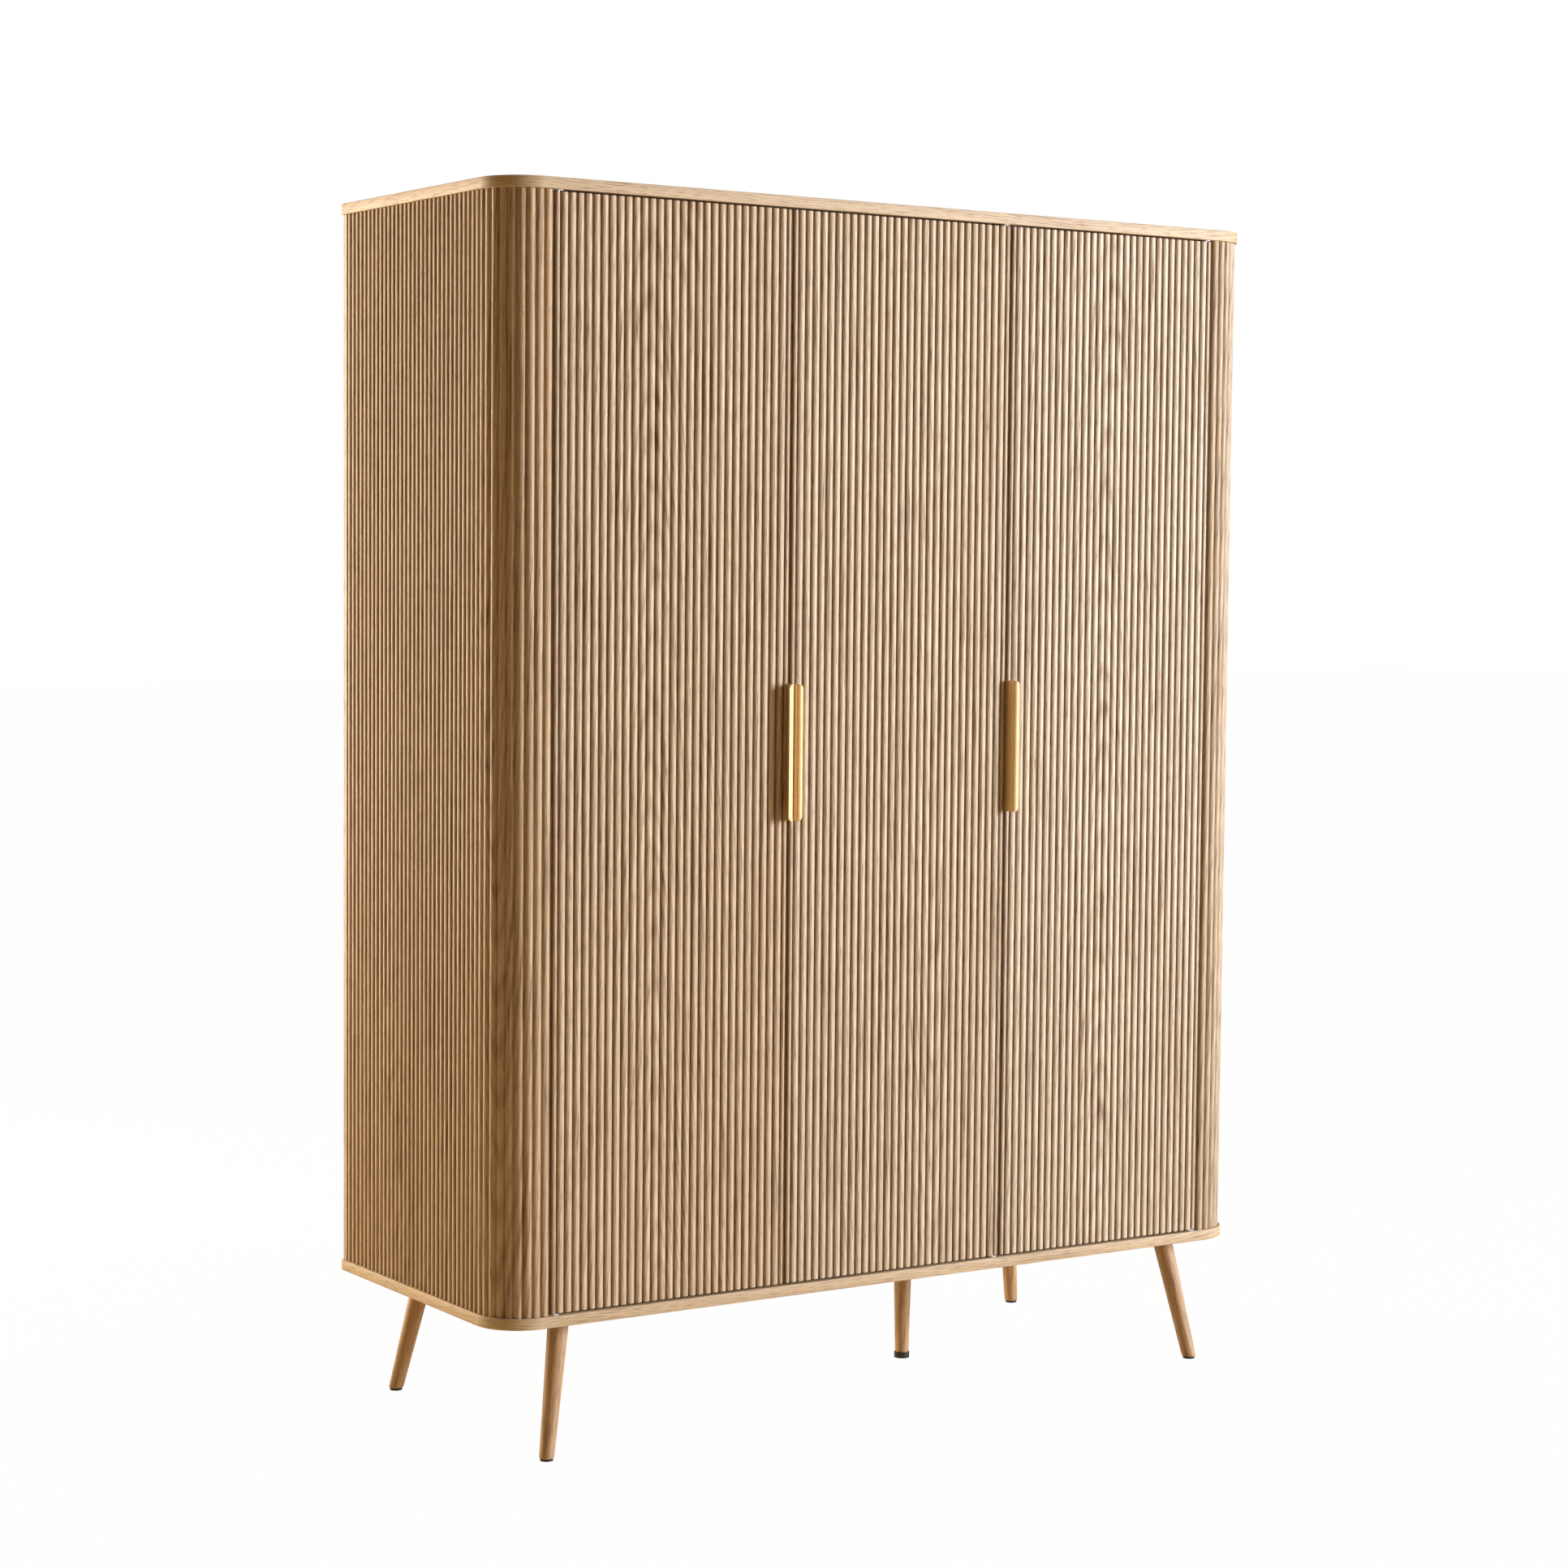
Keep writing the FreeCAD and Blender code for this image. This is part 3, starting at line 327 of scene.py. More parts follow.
# %% [markdown]
# ## Carrying an outline up
# Doors and side skins are both outlines carried from a low level to a high one.  The end
# levels are drawn in by a fraction of a millimetre, which gives every reed the small
# softened end that a joiner leaves with one pass of fine paper.  The grain reading rides
# on the mesh as an attribute, so that oak can bend round a corner without stretching.

# %% Mesh from an outline
END_EASE = 0.5 * MM
LEVELS = 84
RIPPLE = 0.22 * MM
RIPPLE_ACROSS = 130
RIPPLE_UP = 22
SOFT_ANGLE = 35


def add_piece(name, verts, faces, grain=None, smooth=SOFT_ANGLE):
    """Object from plain lists, with soft and sharp edges split at an angle."""
    mesh = bpy.data.meshes.new(name)
    mesh.from_pydata(verts, [], faces)
    mesh.validate()
    if grain:
        layer = mesh.attributes.new("grain", "FLOAT_VECTOR", "POINT")
        layer.data.foreach_set("vector", [value for reading in grain for value in reading])
    work = bmesh.new()
    work.from_mesh(mesh)
    bmesh.ops.recalc_face_normals(work, faces=work.faces)
    work.to_mesh(mesh)
    work.free()
    mesh.shade_smooth()
    mesh.set_sharp_from_angle(angle=math.radians(smooth))
    piece = bpy.data.objects.new(name, mesh)
    bpy.context.scene.collection.objects.link(piece)
    return piece


def carry_up(name, spots, low, high):
    """Closed outline carried from low to high, with eased ends and a slight ripple."""
    heights = [low, low + END_EASE]
    heights += [low + (high - low) * step / LEVELS for step in range(1, LEVELS)]
    heights += [high - END_EASE, high]
    verts, grain = [], []
    for row, height in enumerate(heights):
        inset = END_EASE if row in (0, len(heights) - 1) else 0.0
        for spot in spots:
            wave = 0.0
            if spot.loose:
                wave = -RIPPLE * abs(noise.noise(Vector((spot.across * RIPPLE_ACROSS,
                                                         height * RIPPLE_UP, low))))
            place = spot.place + spot.outward * (wave - inset)
            verts.append((place.x, place.y, height))
            grain.append((spot.across, spot.depth, height))
    count = len(spots)
    faces = []
    for row in range(len(heights) - 1):
        for column in range(count):
            following = (column + 1) % count
            faces.append((row * count + column, row * count + following,
                          (row + 1) * count + following, (row + 1) * count + column))
    faces.append(tuple(reversed(range(count))))
    faces.append(tuple(range((len(heights) - 1) * count, len(heights) * count)))
    return add_piece(name, verts, faces, grain)


def straight_spots(points, depth, run=0.0):
    """Plain corners of an outline, each facing away from the outline's middle."""
    middle = sum(points, Vector((0, 0))) / len(points)
    return [Spot(point, point - middle, run, depth) for point in points]


print("ends eased by", round(END_EASE / MM, 2), "mm")

# %% [markdown]
# ## Cutting recesses
# A real door is machined before it is dressed: a rebate in its free edge for the pull, and
# a slot in each end for a pivot plate.  Each metal part's own box tells where to cut, and
# a Boolean cut takes the wood away, so that wood and metal never share a place.

# %% Recess cutter
def block_mesh(name, low, high):
    """Plain block between two corners, used only as a cutter."""
    work = bmesh.new()
    bmesh.ops.create_cube(work, size=1.0)
    middle = (low + high) / 2
    extent = high - low
    for vert in work.verts:
        vert.co = Vector([middle[axis] + vert.co[axis] * extent[axis] for axis in range(3)])
    mesh = bpy.data.meshes.new(name)
    work.to_mesh(mesh)
    work.free()
    return mesh


def carve(piece, cutters):
    """Take each cutter's shape out of a piece, keeping its soft and sharp edges."""
    for shape in cutters:
        cutter = bpy.data.objects.new("cutter", shape)
        bpy.context.scene.collection.objects.link(cutter)
        step = piece.modifiers.new("recess", "BOOLEAN")
        step.object = cutter
        step.solver = "EXACT"
        graph = bpy.context.evaluated_depsgraph_get()
        mesh = bpy.data.meshes.new_from_object(piece.evaluated_get(graph))
        piece.modifiers.clear()
        piece.data = mesh
        bpy.data.objects.remove(cutter)
    piece.data.set_sharp_from_angle(angle=math.radians(SOFT_ANGLE))
    return piece


print("cutter ready")

# %% [markdown]
# ## Doors
# Each door is one reeded board.  Twenty-nine whole reeds fill its width, and a narrower
# reed on each edge takes up what is left and drops away at the edge, which lets the door
# swing past its neighbour.  The figure of the oak runs across all the reeds as if the
# board had been veneered first and shaped after.  Each door has its own cut from the tree.
# Its tone is painted light: the doors are toned paler and cooler towards the right, where
# the key lamp stands, to stand in for the stronger light that falls there.

# %% Build the three doors
PULL_METAL = 2 * MM
PULL_FLANGE = 24 * MM
PIVOT_SETBACK = 10 * MM
PIVOT_PLATE = 11 * MM
OVERCUT = 1 * MM


def door_outline(low, high):
    """Reeded front, plain back."""
    width = high.x - low.x
    count = int((width - REED_PITCH) / REED_PITCH)
    middle = (low.x + high.x) / 2
    first = middle - count * REED_PITCH / 2
    valley = low.y + REED_DEPTH
    stations = [low.x, *(first + REED_PITCH * index for index in range(count + 1)), high.x]
    spots = []
    for index, (left, right) in enumerate(zip(stations, stations[1:])):
        height = EDGE_REED_DEPTH if index in (0, count + 1) else REED_DEPTH
        spots += reed_spots(Vector((left, valley)), Vector((right, valley)), Vector((0, -1)),
                            height, left)
    corners = straight_spots([Vector((high.x, valley)), Vector((high.x, high.y)),
                              Vector((low.x, high.y))], REED_DEPTH)
    return spots + corners


def door_recesses(name, low, high):
    """Rebate for the pull's leg and flange, and slots for the pivot plates."""
    pull_low, pull_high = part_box(f"{name}_door_handle")
    free_left = pull_low.x - low.x < high.x - pull_high.x
    leg = (pull_low.x - OVERCUT, pull_low.x + PULL_METAL) if free_left else (
        pull_high.x - PULL_METAL, pull_high.x + OVERCUT)
    recesses = [block_mesh("rebate", Vector((leg[0], low.y - OVERCUT, pull_low.z)),
                           Vector((leg[1], high.y + OVERCUT, pull_high.z))),
                block_mesh("rebate", Vector((pull_low.x, high.y - PULL_METAL, pull_low.z)),
                           Vector((pull_high.x, high.y + OVERCUT, pull_high.z)))]
    for end in ("bottom", "top"):
        plate_low, plate_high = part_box(f"{name}_door_{end}_pivot")
        start, stop = (low.z - OVERCUT, plate_high.z) if end == "bottom" else (
            plate_low.z, high.z + OVERCUT)
        seat_y = low.y + PIVOT_SETBACK
        recesses.append(block_mesh(
            "seat", Vector((plate_low.x, seat_y - PIVOT_PLATE / 2, start)),
            Vector((plate_high.x, seat_y + PIVOT_PLATE / 2, stop))))
    return recesses


# cut says where on the tree the leaf was taken, counted from the middle of its door
# the pale and warm tones are painted light, paler and cooler towards the right door
DOOR_LEAVES_AND_LIT_TONES = {
    "left": {"cut": (0.03, 0.0, -0.2), "lean": 0.055, "heart": 0.06,
             "pale": paint(205, 179, 145), "warm": paint(167, 134, 97)},
    "middle": {"cut": (-0.05, 0.37, 1.3), "lean": -0.05, "heart": 0.16,
               "pale": paint(207, 185, 154), "warm": paint(170, 141, 107)},
    "right": {"cut": (0.02, 0.74, 2.9), "lean": 0.06, "heart": -0.14,
              "pale": paint(210, 190, 162), "warm": paint(174, 148, 117)},
}
for name, leaf in DOOR_LEAVES_AND_LIT_TONES.items():
    low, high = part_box(f"{name}_door_panel")
    door = carry_up(f"{name}_reeded_door", door_outline(low, high), low.z, high.z)
    carve(door, door_recesses(name, low, high))
    across, deep, along = leaf["cut"]
    finish = oak(f"oak_{name}_door", "up", (across - (low.x + high.x) / 2, deep, along),
                 heart=leaf["heart"], lean=leaf["lean"], reed_top=low.y,
                 pale=leaf["pale"], warm=leaf["warm"])
    door.data.materials.clear()
    door.data.materials.append(finish)
    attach(door, f"{name}_door")
    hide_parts(f"{name}_door_panel")
    print(name, "door", round((high.x - low.x) / MM, 1), "mm wide,",
          len(door.data.vertices), "points")

# %% [markdown]
# ## Reeded sides and round corners
# The same reeds cover the sides.  They are made as a flexible sheet, reeds on a thin
# backing, because a sheet can be wrapped: it starts at the door gap, turns the front
# corner over a curved post and runs to a plain strip at the back edge.  Measuring along
# the sheet instead of along the room keeps the reeds evenly spaced round the bend.  Each
# side has its own cut from the tree.  Its tone is painted shade: both sides are toned a
# little darker than the doors, and the right one, whose corner faces the key lamp, most.

# %% Wrap the side skins
SLAB_RADIUS = 75 * MM
CREST_INSET = 3.5 * MM
SKIN_BACKING = 2 * MM
PLAIN_STRIP = 12 * MM
CORNER_MIDDLE = 70 * MM
CORNER_STEPS = 16


def skin_station(run, flat, radius):
    """Place and way out, seen from the corner's centre, for the right-hand side."""
    bend = radius * math.pi / 2
    if run < flat:
        return Vector((run - flat, -radius)), Vector((0, -1))
    if run < flat + bend:
        angle = (run - flat) / radius
        outward = Vector((math.sin(angle), -math.cos(angle)))
        return outward * radius, outward
    return Vector((radius, run - flat - bend)), Vector((1, 0))


def skin_outline(low, high, side):
    """Outline of one skin; side is -1 for the left and 1 for the right."""
    radius = SLAB_RADIUS - CREST_INSET - REED_DEPTH
    inner = radius - SKIN_BACKING
    outer = radius + REED_DEPTH
    flat = (high.x - low.x) - outer
    centre = Vector(((high.x if side > 0 else low.x) - side * outer, low.y + outer))
    back = high.y - centre.y
    reeded = flat + radius * math.pi / 2 + back - PLAIN_STRIP
    count = round(reeded / REED_PITCH)
    spots = []
    for index in range(count):
        run = reeded * index / count
        start, _ = skin_station(run, flat, radius)
        end, _ = skin_station(reeded * (index + 1) / count, flat, radius)
        _, outward = skin_station(reeded * (index + 0.5) / count, flat, radius)
        spots += reed_spots(start, end, outward, REED_DEPTH, run)
    side_way, back_way, in_way = Vector((1, 0)), Vector((0, 1)), Vector((-1, 0))
    spots += [Spot(Vector((radius, back - PLAIN_STRIP)), side_way, reeded, REED_DEPTH),
              Spot(Vector((outer, back - PLAIN_STRIP)), side_way, reeded, 0.0),
              Spot(Vector((outer, back)), side_way + back_way, reeded + PLAIN_STRIP, 0.0),
              Spot(Vector((inner, back)), in_way + back_way, reeded + PLAIN_STRIP, REED_DEPTH)]
    for step in range(CORNER_STEPS + 1):
        angle = math.pi / 2 * (1 - step / CORNER_STEPS)
        outward = Vector((math.sin(angle), -math.cos(angle)))
        spots.append(Spot(outward * inner, -outward, flat + radius * angle, REED_DEPTH))
    spots.append(Spot(Vector((-flat, -inner)), Vector((-1, 1)), 0, REED_DEPTH))
    for spot in spots:
        spot.place = centre + Vector((spot.place.x * side, spot.place.y))
        spot.outward = Vector((spot.outward.x * side, spot.outward.y))
    return spots


# the pale and warm tones are painted shade, darker than the doors, the right side most
SKIN_PAINTED_SHADE_TONES = {
    "left": {"pale": paint(194, 164, 126), "warm": paint(150, 115, 77)},
    "right": {"pale": paint(184, 160, 128), "warm": paint(144, 116, 82)},
}
for name, side in (("left", -1), ("right", 1)):
    low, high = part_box(f"{name}_fluted_skin")
    skin = carry_up(f"{name}_reeded_side", skin_outline(low, high, side), low.z, high.z)
    finish = oak(f"oak_{name}_side", "carried", (-0.10, 0.9 + side, 0.45 * side),
                 heart=0.10, lean=0.05 * side, reed_top=0.0, bend=CORNER_MIDDLE,
                 **SKIN_PAINTED_SHADE_TONES[name])
    skin.data.materials.append(finish)
    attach(skin, "carcass")
    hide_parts(f"{name}_fluted_skin")
    print(name, "side skin", len(skin.data.vertices), "points")

# %% [markdown]
# ## Slabs and their edge bands
# The top and the bottom are veneered boards, and a thin oak band hides the board's core
# along each edge.  One band runs from corner to corner round the front, and its grain
# turns the corner with it.  Shorter bands cover the sides, so there is a fine seam where
# the corner begins.  The bands' outer edges are rounded over by under a millimetre.

# %% Slab boards and bands
BAND = 1.0 * MM
BAND_EASE = 0.8 * MM
EASE_STEPS = 3
ARC_STEPS = 28
SIDE_STEPS = 12


def front_path(low, high, inset):
    """Outline from the left seam round both corners to the right seam, with ways out."""
    radius = SLAB_RADIUS - inset
    path = []
    for centre_x, start in ((low.x + SLAB_RADIUS, math.pi),
                            (high.x - SLAB_RADIUS, 1.5 * math.pi)):
        for step in range(ARC_STEPS + 1):
            angle = start + math.pi / 2 * step / ARC_STEPS
            outward = Vector((math.cos(angle), math.sin(angle)))
            path.append((Vector((centre_x, low.y + SLAB_RADIUS)) + outward * radius, outward))
    return path


def slab_board(name, low, high, recesses):
    """Board inside the bands, flush with them above and below, raw at the back."""
    path = front_path(low, high, BAND)
    outline = [Vector((low.x + BAND, high.y)), *(place for place, _ in path),
               Vector((high.x - BAND, high.y))]
    count = len(outline)
    verts = [(place.x, place.y, z) for z in (low.z, high.z) for place in outline]
    faces = [(index, (index + 1) % count, (index + 1) % count + count, index + count)
             for index in range(count)]
    faces += [tuple(reversed(range(count))), tuple(range(count, 2 * count))]
    return carve(add_piece(name, verts, faces), recesses)


def band(name, path, low_z, high_z, start_run):
    """Thin strip along a path with its two outer edges rounded over."""
    height = high_z - low_z
    section = [(0.0, 0.0)]
    for step in range(EASE_STEPS + 1):
        angle = math.pi / 2 * step / EASE_STEPS
        section.append((BAND - BAND_EASE * (1 - math.sin(angle)),
                        BAND_EASE * (1 - math.cos(angle))))
    section += [(out, height - up) for out, up in reversed(section)]
    verts, grain = [], []
    run = start_run
    for index, (place, outward) in enumerate(path):
        if index:
            run += (place - path[index - 1][0]).length
        for out, up in section:
            spot = place + outward * out
            verts.append((spot.x, spot.y, low_z + up))
            grain.append((up, out, run))
    size = len(section)
    faces = []
    for index in range(len(path) - 1):
        for corner in range(size):
            following = (corner + 1) % size
            faces.append((index * size + corner, (index + 1) * size + corner,
                          (index + 1) * size + following, index * size + following))
    faces += [tuple(range(size)), tuple(range((len(path) - 1) * size, len(path) * size))]
    return add_piece(name, verts, faces, grain)


def side_path(x, outward_x, front_y, back_y):
    """Straight run of a side band, in short steps."""
    return [(Vector((x, front_y + (back_y - front_y) * step / SIDE_STEPS)),
             Vector((outward_x, 0))) for step in range(SIDE_STEPS + 1)]


def rod_mesh(name, centre, radius, low_z, high_z):
    """Upright rod, used only as a cutter."""
    work = bmesh.new()
    bmesh.ops.create_cone(work, cap_ends=True, segments=48, radius1=radius, radius2=radius,
                          depth=high_z - low_z)
    bmesh.ops.translate(work, verts=work.verts, vec=(centre[0], centre[1], (low_z + high_z) / 2))
    mesh = bpy.data.meshes.new(name)
    work.to_mesh(mesh)
    work.free()
    return mesh


print("slab helpers ready, bands", round(BAND / MM, 1), "mm thick")

# %% [markdown]
# The bottom board is let in for the leg plates, and both boards are bored for the bushes
# in which the doors' pins turn.  The joints of the frame say where those pins stand.

# %% Build the two slabs
PLATE_DEPTH = 3 * MM
PLATE_SIDE = 56 * MM
BUSH_RADIUS = 6 * MM
BUSH_DEPTH = 10 * MM

plates_low, plates_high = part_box("leg_plates")
centre_low, centre_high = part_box("centre_leg")
plate_corners = [Vector((x, y)) for x in (plates_low.x, plates_high.x - PLATE_SIDE)
                 for y in (plates_low.y, plates_high.y - PLATE_SIDE)]
centre_leg_top = Vector(((centre_low.x + centre_high.x) / 2,
                         (centre_low.y + centre_high.y) / 2))
plate_corners.append(centre_leg_top - Vector((PLATE_SIDE, PLATE_SIDE)) / 2)
hinge_axes = [Vector(joint["pos_m"]) for joint in frame["joints"]]

slab_oak = oak("oak_slab_faces", "sideways", (0.4, 0.2, 0.1), heart=0.12, lean=0.05)
front_band_oak = oak("oak_front_bands", "carried", (0.31, 0.0, 1.7), heart=0.03, lean=0.02,
                     pale=paint(196, 168, 130), warm=paint(156, 122, 84), figure=0.6)
side_band_oak = oak("oak_side_bands", "carried", (0.12, 0.3, 4.2), heart=0.16, lean=0.02,
                    pale=paint(196, 166, 128), warm=paint(162, 128, 90), figure=0.4)
for name in ("bottom", "top"):
    low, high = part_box(f"{name}_slab")
    cutters = []
    if name == "bottom":
        cutters += [block_mesh("seat", Vector((corner.x, corner.y, low.z - OVERCUT)),
                               Vector((corner.x + PLATE_SIDE, corner.y + PLATE_SIDE,
                                       low.z + PLATE_DEPTH))) for corner in plate_corners]
    bores = (high.z - BUSH_DEPTH, high.z + OVERCUT) if name == "bottom" else (
        low.z - OVERCUT, low.z + BUSH_DEPTH)
    cutters += [rod_mesh("bore", axis, BUSH_RADIUS, *bores) for axis in hinge_axes]
    board = slab_board(f"{name}_slab_board", low, high, cutters)
    board.data.materials.clear()
    board.data.materials.append(slab_oak)
    pieces = [(board, None)]
    path = front_path(low, high, BAND)
    pieces.append((band(f"{name}_front_band", path, low.z, high.z, 0.0), front_band_oak))
    for side, x in ((-1, low.x + BAND), (1, high.x - BAND)):
        run = side_path(x, side, low.y + SLAB_RADIUS, high.y)
        label = "left" if side < 0 else "right"
        pieces.append((band(f"{name}_{label}_band", run, low.z, high.z, 0.7 * side),
                       side_band_oak))
    for piece, finish in pieces:
        if finish:
            piece.data.materials.append(finish)
        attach(piece, "carcass")
    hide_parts(f"{name}_slab")
    print(name, "slab:", len(board.data.vertices), "points in the board")

# %% [markdown]
# ## Legs
# The legs are turned: a plain taper, 34 mm across where it meets the slab and 24 mm at the
# foot.  The outer four lean out both ways.  A leaning leg is still trimmed level at both
# ends, so each ring of the turning is slid along the leg until it lies level.  The last
# turn at the foot is rounded over so that it does not chip.

# %% Turn five legs
LEG_TOP = 17 * MM
LEG_FOOT = 12 * MM
FOOT_EASE = 0.8 * MM
GLIDE = 10.5 * MM
LEG_SIDES = 48
LEG_ROWS = 22


def turned_leg(name, top, foot):
    """Round taper between two level cuts."""
    axis = (foot - top).normalized()
    length = (foot - top).length
    across = axis.cross(Vector((0, 1, 0))).normalized()
    depth = axis.cross(across)
    steps = [0.0, 0.004, *(step / LEG_ROWS for step in range(1, LEG_ROWS)), 0.985, 0.9965, 1.0]
    verts, grain = [], []
    for step in steps:
        level = top.z + (foot.z - top.z) * step
        ease = FOOT_EASE if step == 1.0 else (0.25 * FOOT_EASE if step > 0.99 else 0.0)
        for side in range(LEG_SIDES):
            angle = 2 * math.pi * side / LEG_SIDES
            way = across * math.cos(angle) + depth * math.sin(angle)
            reach = step
            for _ in range(3):
                taper = (LEG_FOOT - LEG_TOP) * min(1.0, max(0.0, reach))
                radius = LEG_TOP + taper - ease
                spot = top + axis * length * reach + way * radius
                reach += (level - spot.z) / axis.z / length
            spot = top + axis * length * reach + way * radius
            spot.z = level
            verts.append(spot)
            grain.append((math.cos(angle) * radius, math.sin(angle) * radius, length * reach))
    rows = len(steps)
    faces = [(row * LEG_SIDES + side, row * LEG_SIDES + (side + 1) % LEG_SIDES,
              (row + 1) * LEG_SIDES + (side + 1) % LEG_SIDES, (row + 1) * LEG_SIDES + side)
             for row in range(rows - 1) for side in range(LEG_SIDES)]
    faces += [tuple(range(LEG_SIDES)), tuple(range((rows - 1) * LEG_SIDES, rows * LEG_SIDES))]
    return add_piece(name, verts, faces, grain)


def corner_spot(low, high, margin, side, end):
    """Point a margin in from one corner of a box, seen from above."""
    return Vector((low.x + margin if side < 0 else high.x - margin,
                   low.y + margin if end < 0 else high.y - margin, 0))


glides_low, glides_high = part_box("foot_glides")
LEGS = (("front_left", -1, -1), ("back_left", -1, 1), ("front_right", 1, -1),
        ("back_right", 1, 1), ("centre", 0, 0))
for number, (name, side, end) in enumerate(LEGS):
    node = f"{name}_leg"
    low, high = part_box(node)
    if name == "centre":
        top = centre_leg_top.to_3d()
        foot = top.copy()
    else:
        top = corner_spot(plates_low, plates_high, PLATE_SIDE / 2, side, end)
        foot = corner_spot(glides_low, glides_high, GLIDE, side, end)
    top.z, foot.z = high.z, low.z
    leg = turned_leg(f"{name}_turned_leg", top, foot)
    leg.data.materials.append(oak(f"oak_{name}_leg", "carried", (0.05, 0.21 * number, number),
                                  heart=0.05, lean=0.02, pale=paint(184, 148, 106),
                                  warm=paint(142, 104, 66), figure=0.8))
    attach(leg, "carcass")
    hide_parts(node)
    lean = math.degrees((foot - top).angle(Vector((0, 0, -1))))
    print(name, "leg leans", round(lean, 1), "degrees")

# %% [markdown]
# ## Brass pulls
# Each pull is one strip of brass, folded like a J: a flange screwed to the door's back, a
# leg let into the door's edge, then a bend and a short lip to hook the fingers behind.
# The lip's two corners are rounded.  The brushed faces are only half metallic here, to
# stand in for a satin lacquer.  The cut edges are polished smoother, so the rim's small
# bevel has its own finish.

# %% Metal finishes
BRUSH_LINES = {"X": (26, 1600, 1600), "Z": (1600, 1600, 26)}


def metal(name, colour, brush, roughness, spread, along="Z", metallic=1.0):
    """Metal with fine brush lines along one direction and faint handling marks."""
    finish = new_finish(name)
    point = finish.add("ShaderNodeTexCoord", output="Object")
    lines = finish.noise(finish.stretch(point, *BRUSH_LINES[along]), 1.0, detail=3.0)
    marks = finish.noise(point, 38.0, detail=4.0)
    tint = finish.mix(marks, colour, darker(colour, 0.86))
    height = lines * brush + marks * 0.2
    return finish.close(Base_Color=tint, Metallic=metallic,
                        Roughness=roughness + (marks - 0.5) * spread + (lines - 0.5) * 0.12,
                        Normal=finish.bump(height, 0.02 * MM, 0.4))


brushed_brass = metal("brushed_brass", paint(236, 202, 148), 0.8, 0.66, 0.06, metallic=0.5)
polished_brass = metal("polished_brass", paint(214, 184, 140), 0.2, 0.46, 0.05)
zinc_steel = metal("zinc_plated_steel", paint(184, 186, 190), 0.4, 0.38, 0.2, along="X")
rail_steel = metal("drawn_steel_rail", paint(200, 200, 202), 0.6, 0.24, 0.12, along="X")
print("metal finishes ready")

# %% [markdown]
# The J is a path seen from above, offset half a plate to each side, and raised in rows up
# the door.  Where the path crosses into the lip's rounded corners, the rows close in.

# %% Fold three pulls
BEND = 8 * MM
LIP = 11 * MM
RIM = 0.3 * MM
BEND_STEPS = 14
STRAIGHT_STEPS = 4


def pull_path(front, back):
    """Middle of the metal, in plan, measured from the door's edge and the lip's face."""
    half = PULL_METAL / 2
    path = [Vector((PULL_FLANGE, back - half)), Vector((PULL_FLANGE - 8 * MM, back - half)),
            Vector((half + 6 * MM, back - half)), Vector((half, back - half))]
    start, stop = back - half, front + BEND
    path += [Vector((half, start + (stop - start) * step / STRAIGHT_STEPS))
             for step in range(1, STRAIGHT_STEPS)]
    for step in range(BEND_STEPS + 1):
        angle = math.pi / 2 * step / BEND_STEPS
        path.append(Vector((BEND - (BEND - half) * math.cos(angle),
                            front + BEND - (BEND - half) * math.sin(angle))))
    path += [Vector((BEND + (LIP - BEND) * share, front + half))
             for share in (0.35, 0.7, 0.9, 1.0)]
    return path


def offset_path(path, distance):
    """Parallel path, mitred at its corners."""
    result = []
    for index, spot in enumerate(path):
        ways = []
        if index:
            ways.append((spot - path[index - 1]).normalized())
        if index < len(path) - 1:
            ways.append((path[index + 1] - spot).normalized())
        sides = [Vector((way.y, -way.x)) for way in ways]
        middle = sum(sides, Vector((0, 0))).normalized()
        result.append(spot + middle * (distance / middle.dot(sides[0])))
    return result


def corner_trim(reach, part):
    """How far the lip's rounded corner pulls in the end rows."""
    past = reach - (LIP - BEND)
    if past <= 0 or not part:
        return 0.0
    return BEND - math.sqrt(max(0.0, BEND * BEND - min(past, BEND) ** 2))


def folded_pull(name, low, high, edge_x, way):
    """Closed strip of metal along the J."""
    path = pull_path(low.y, high.y)
    in_lip = [spot.y < low.y + BEND + 4 * MM for spot in path]
    sides = (offset_path(path, PULL_METAL / 2), offset_path(path, -PULL_METAL / 2))
    rows = [0.0, 0.012, 0.03, 0.055, 0.09, 0.16, 0.27, 0.38, 0.5]
    rows += [1 - row for row in reversed(rows[:-1])]
    verts = []
    for side in sides:
        for spot, lip in zip(side, in_lip):
            trim = corner_trim(spot.x, lip)
            for row in rows:
                height = low.z + trim + (high.z - low.z - 2 * trim) * row
                verts.append((edge_x + way * spot.x, spot.y, height))
    tall, wide = len(rows), len(path)
    second = tall * wide
    faces = []
    for column in range(wide - 1):
        for row in range(tall - 1):
            a, b = column * tall + row, (column + 1) * tall + row
            faces.append((a, b, b + 1, a + 1))
            faces.append((second + a, second + a + 1, second + b + 1, second + b))
    for column in range(wide - 1):
        for row in (0, tall - 1):
            a, b = column * tall + row, (column + 1) * tall + row
            faces.append((a, second + a, second + b, b))
    for column in (0, wide - 1):
        for row in range(tall - 1):
            a = column * tall + row
            faces.append((a, a + 1, second + a + 1, second + a))
    return add_piece(name, verts, faces, smooth=30)


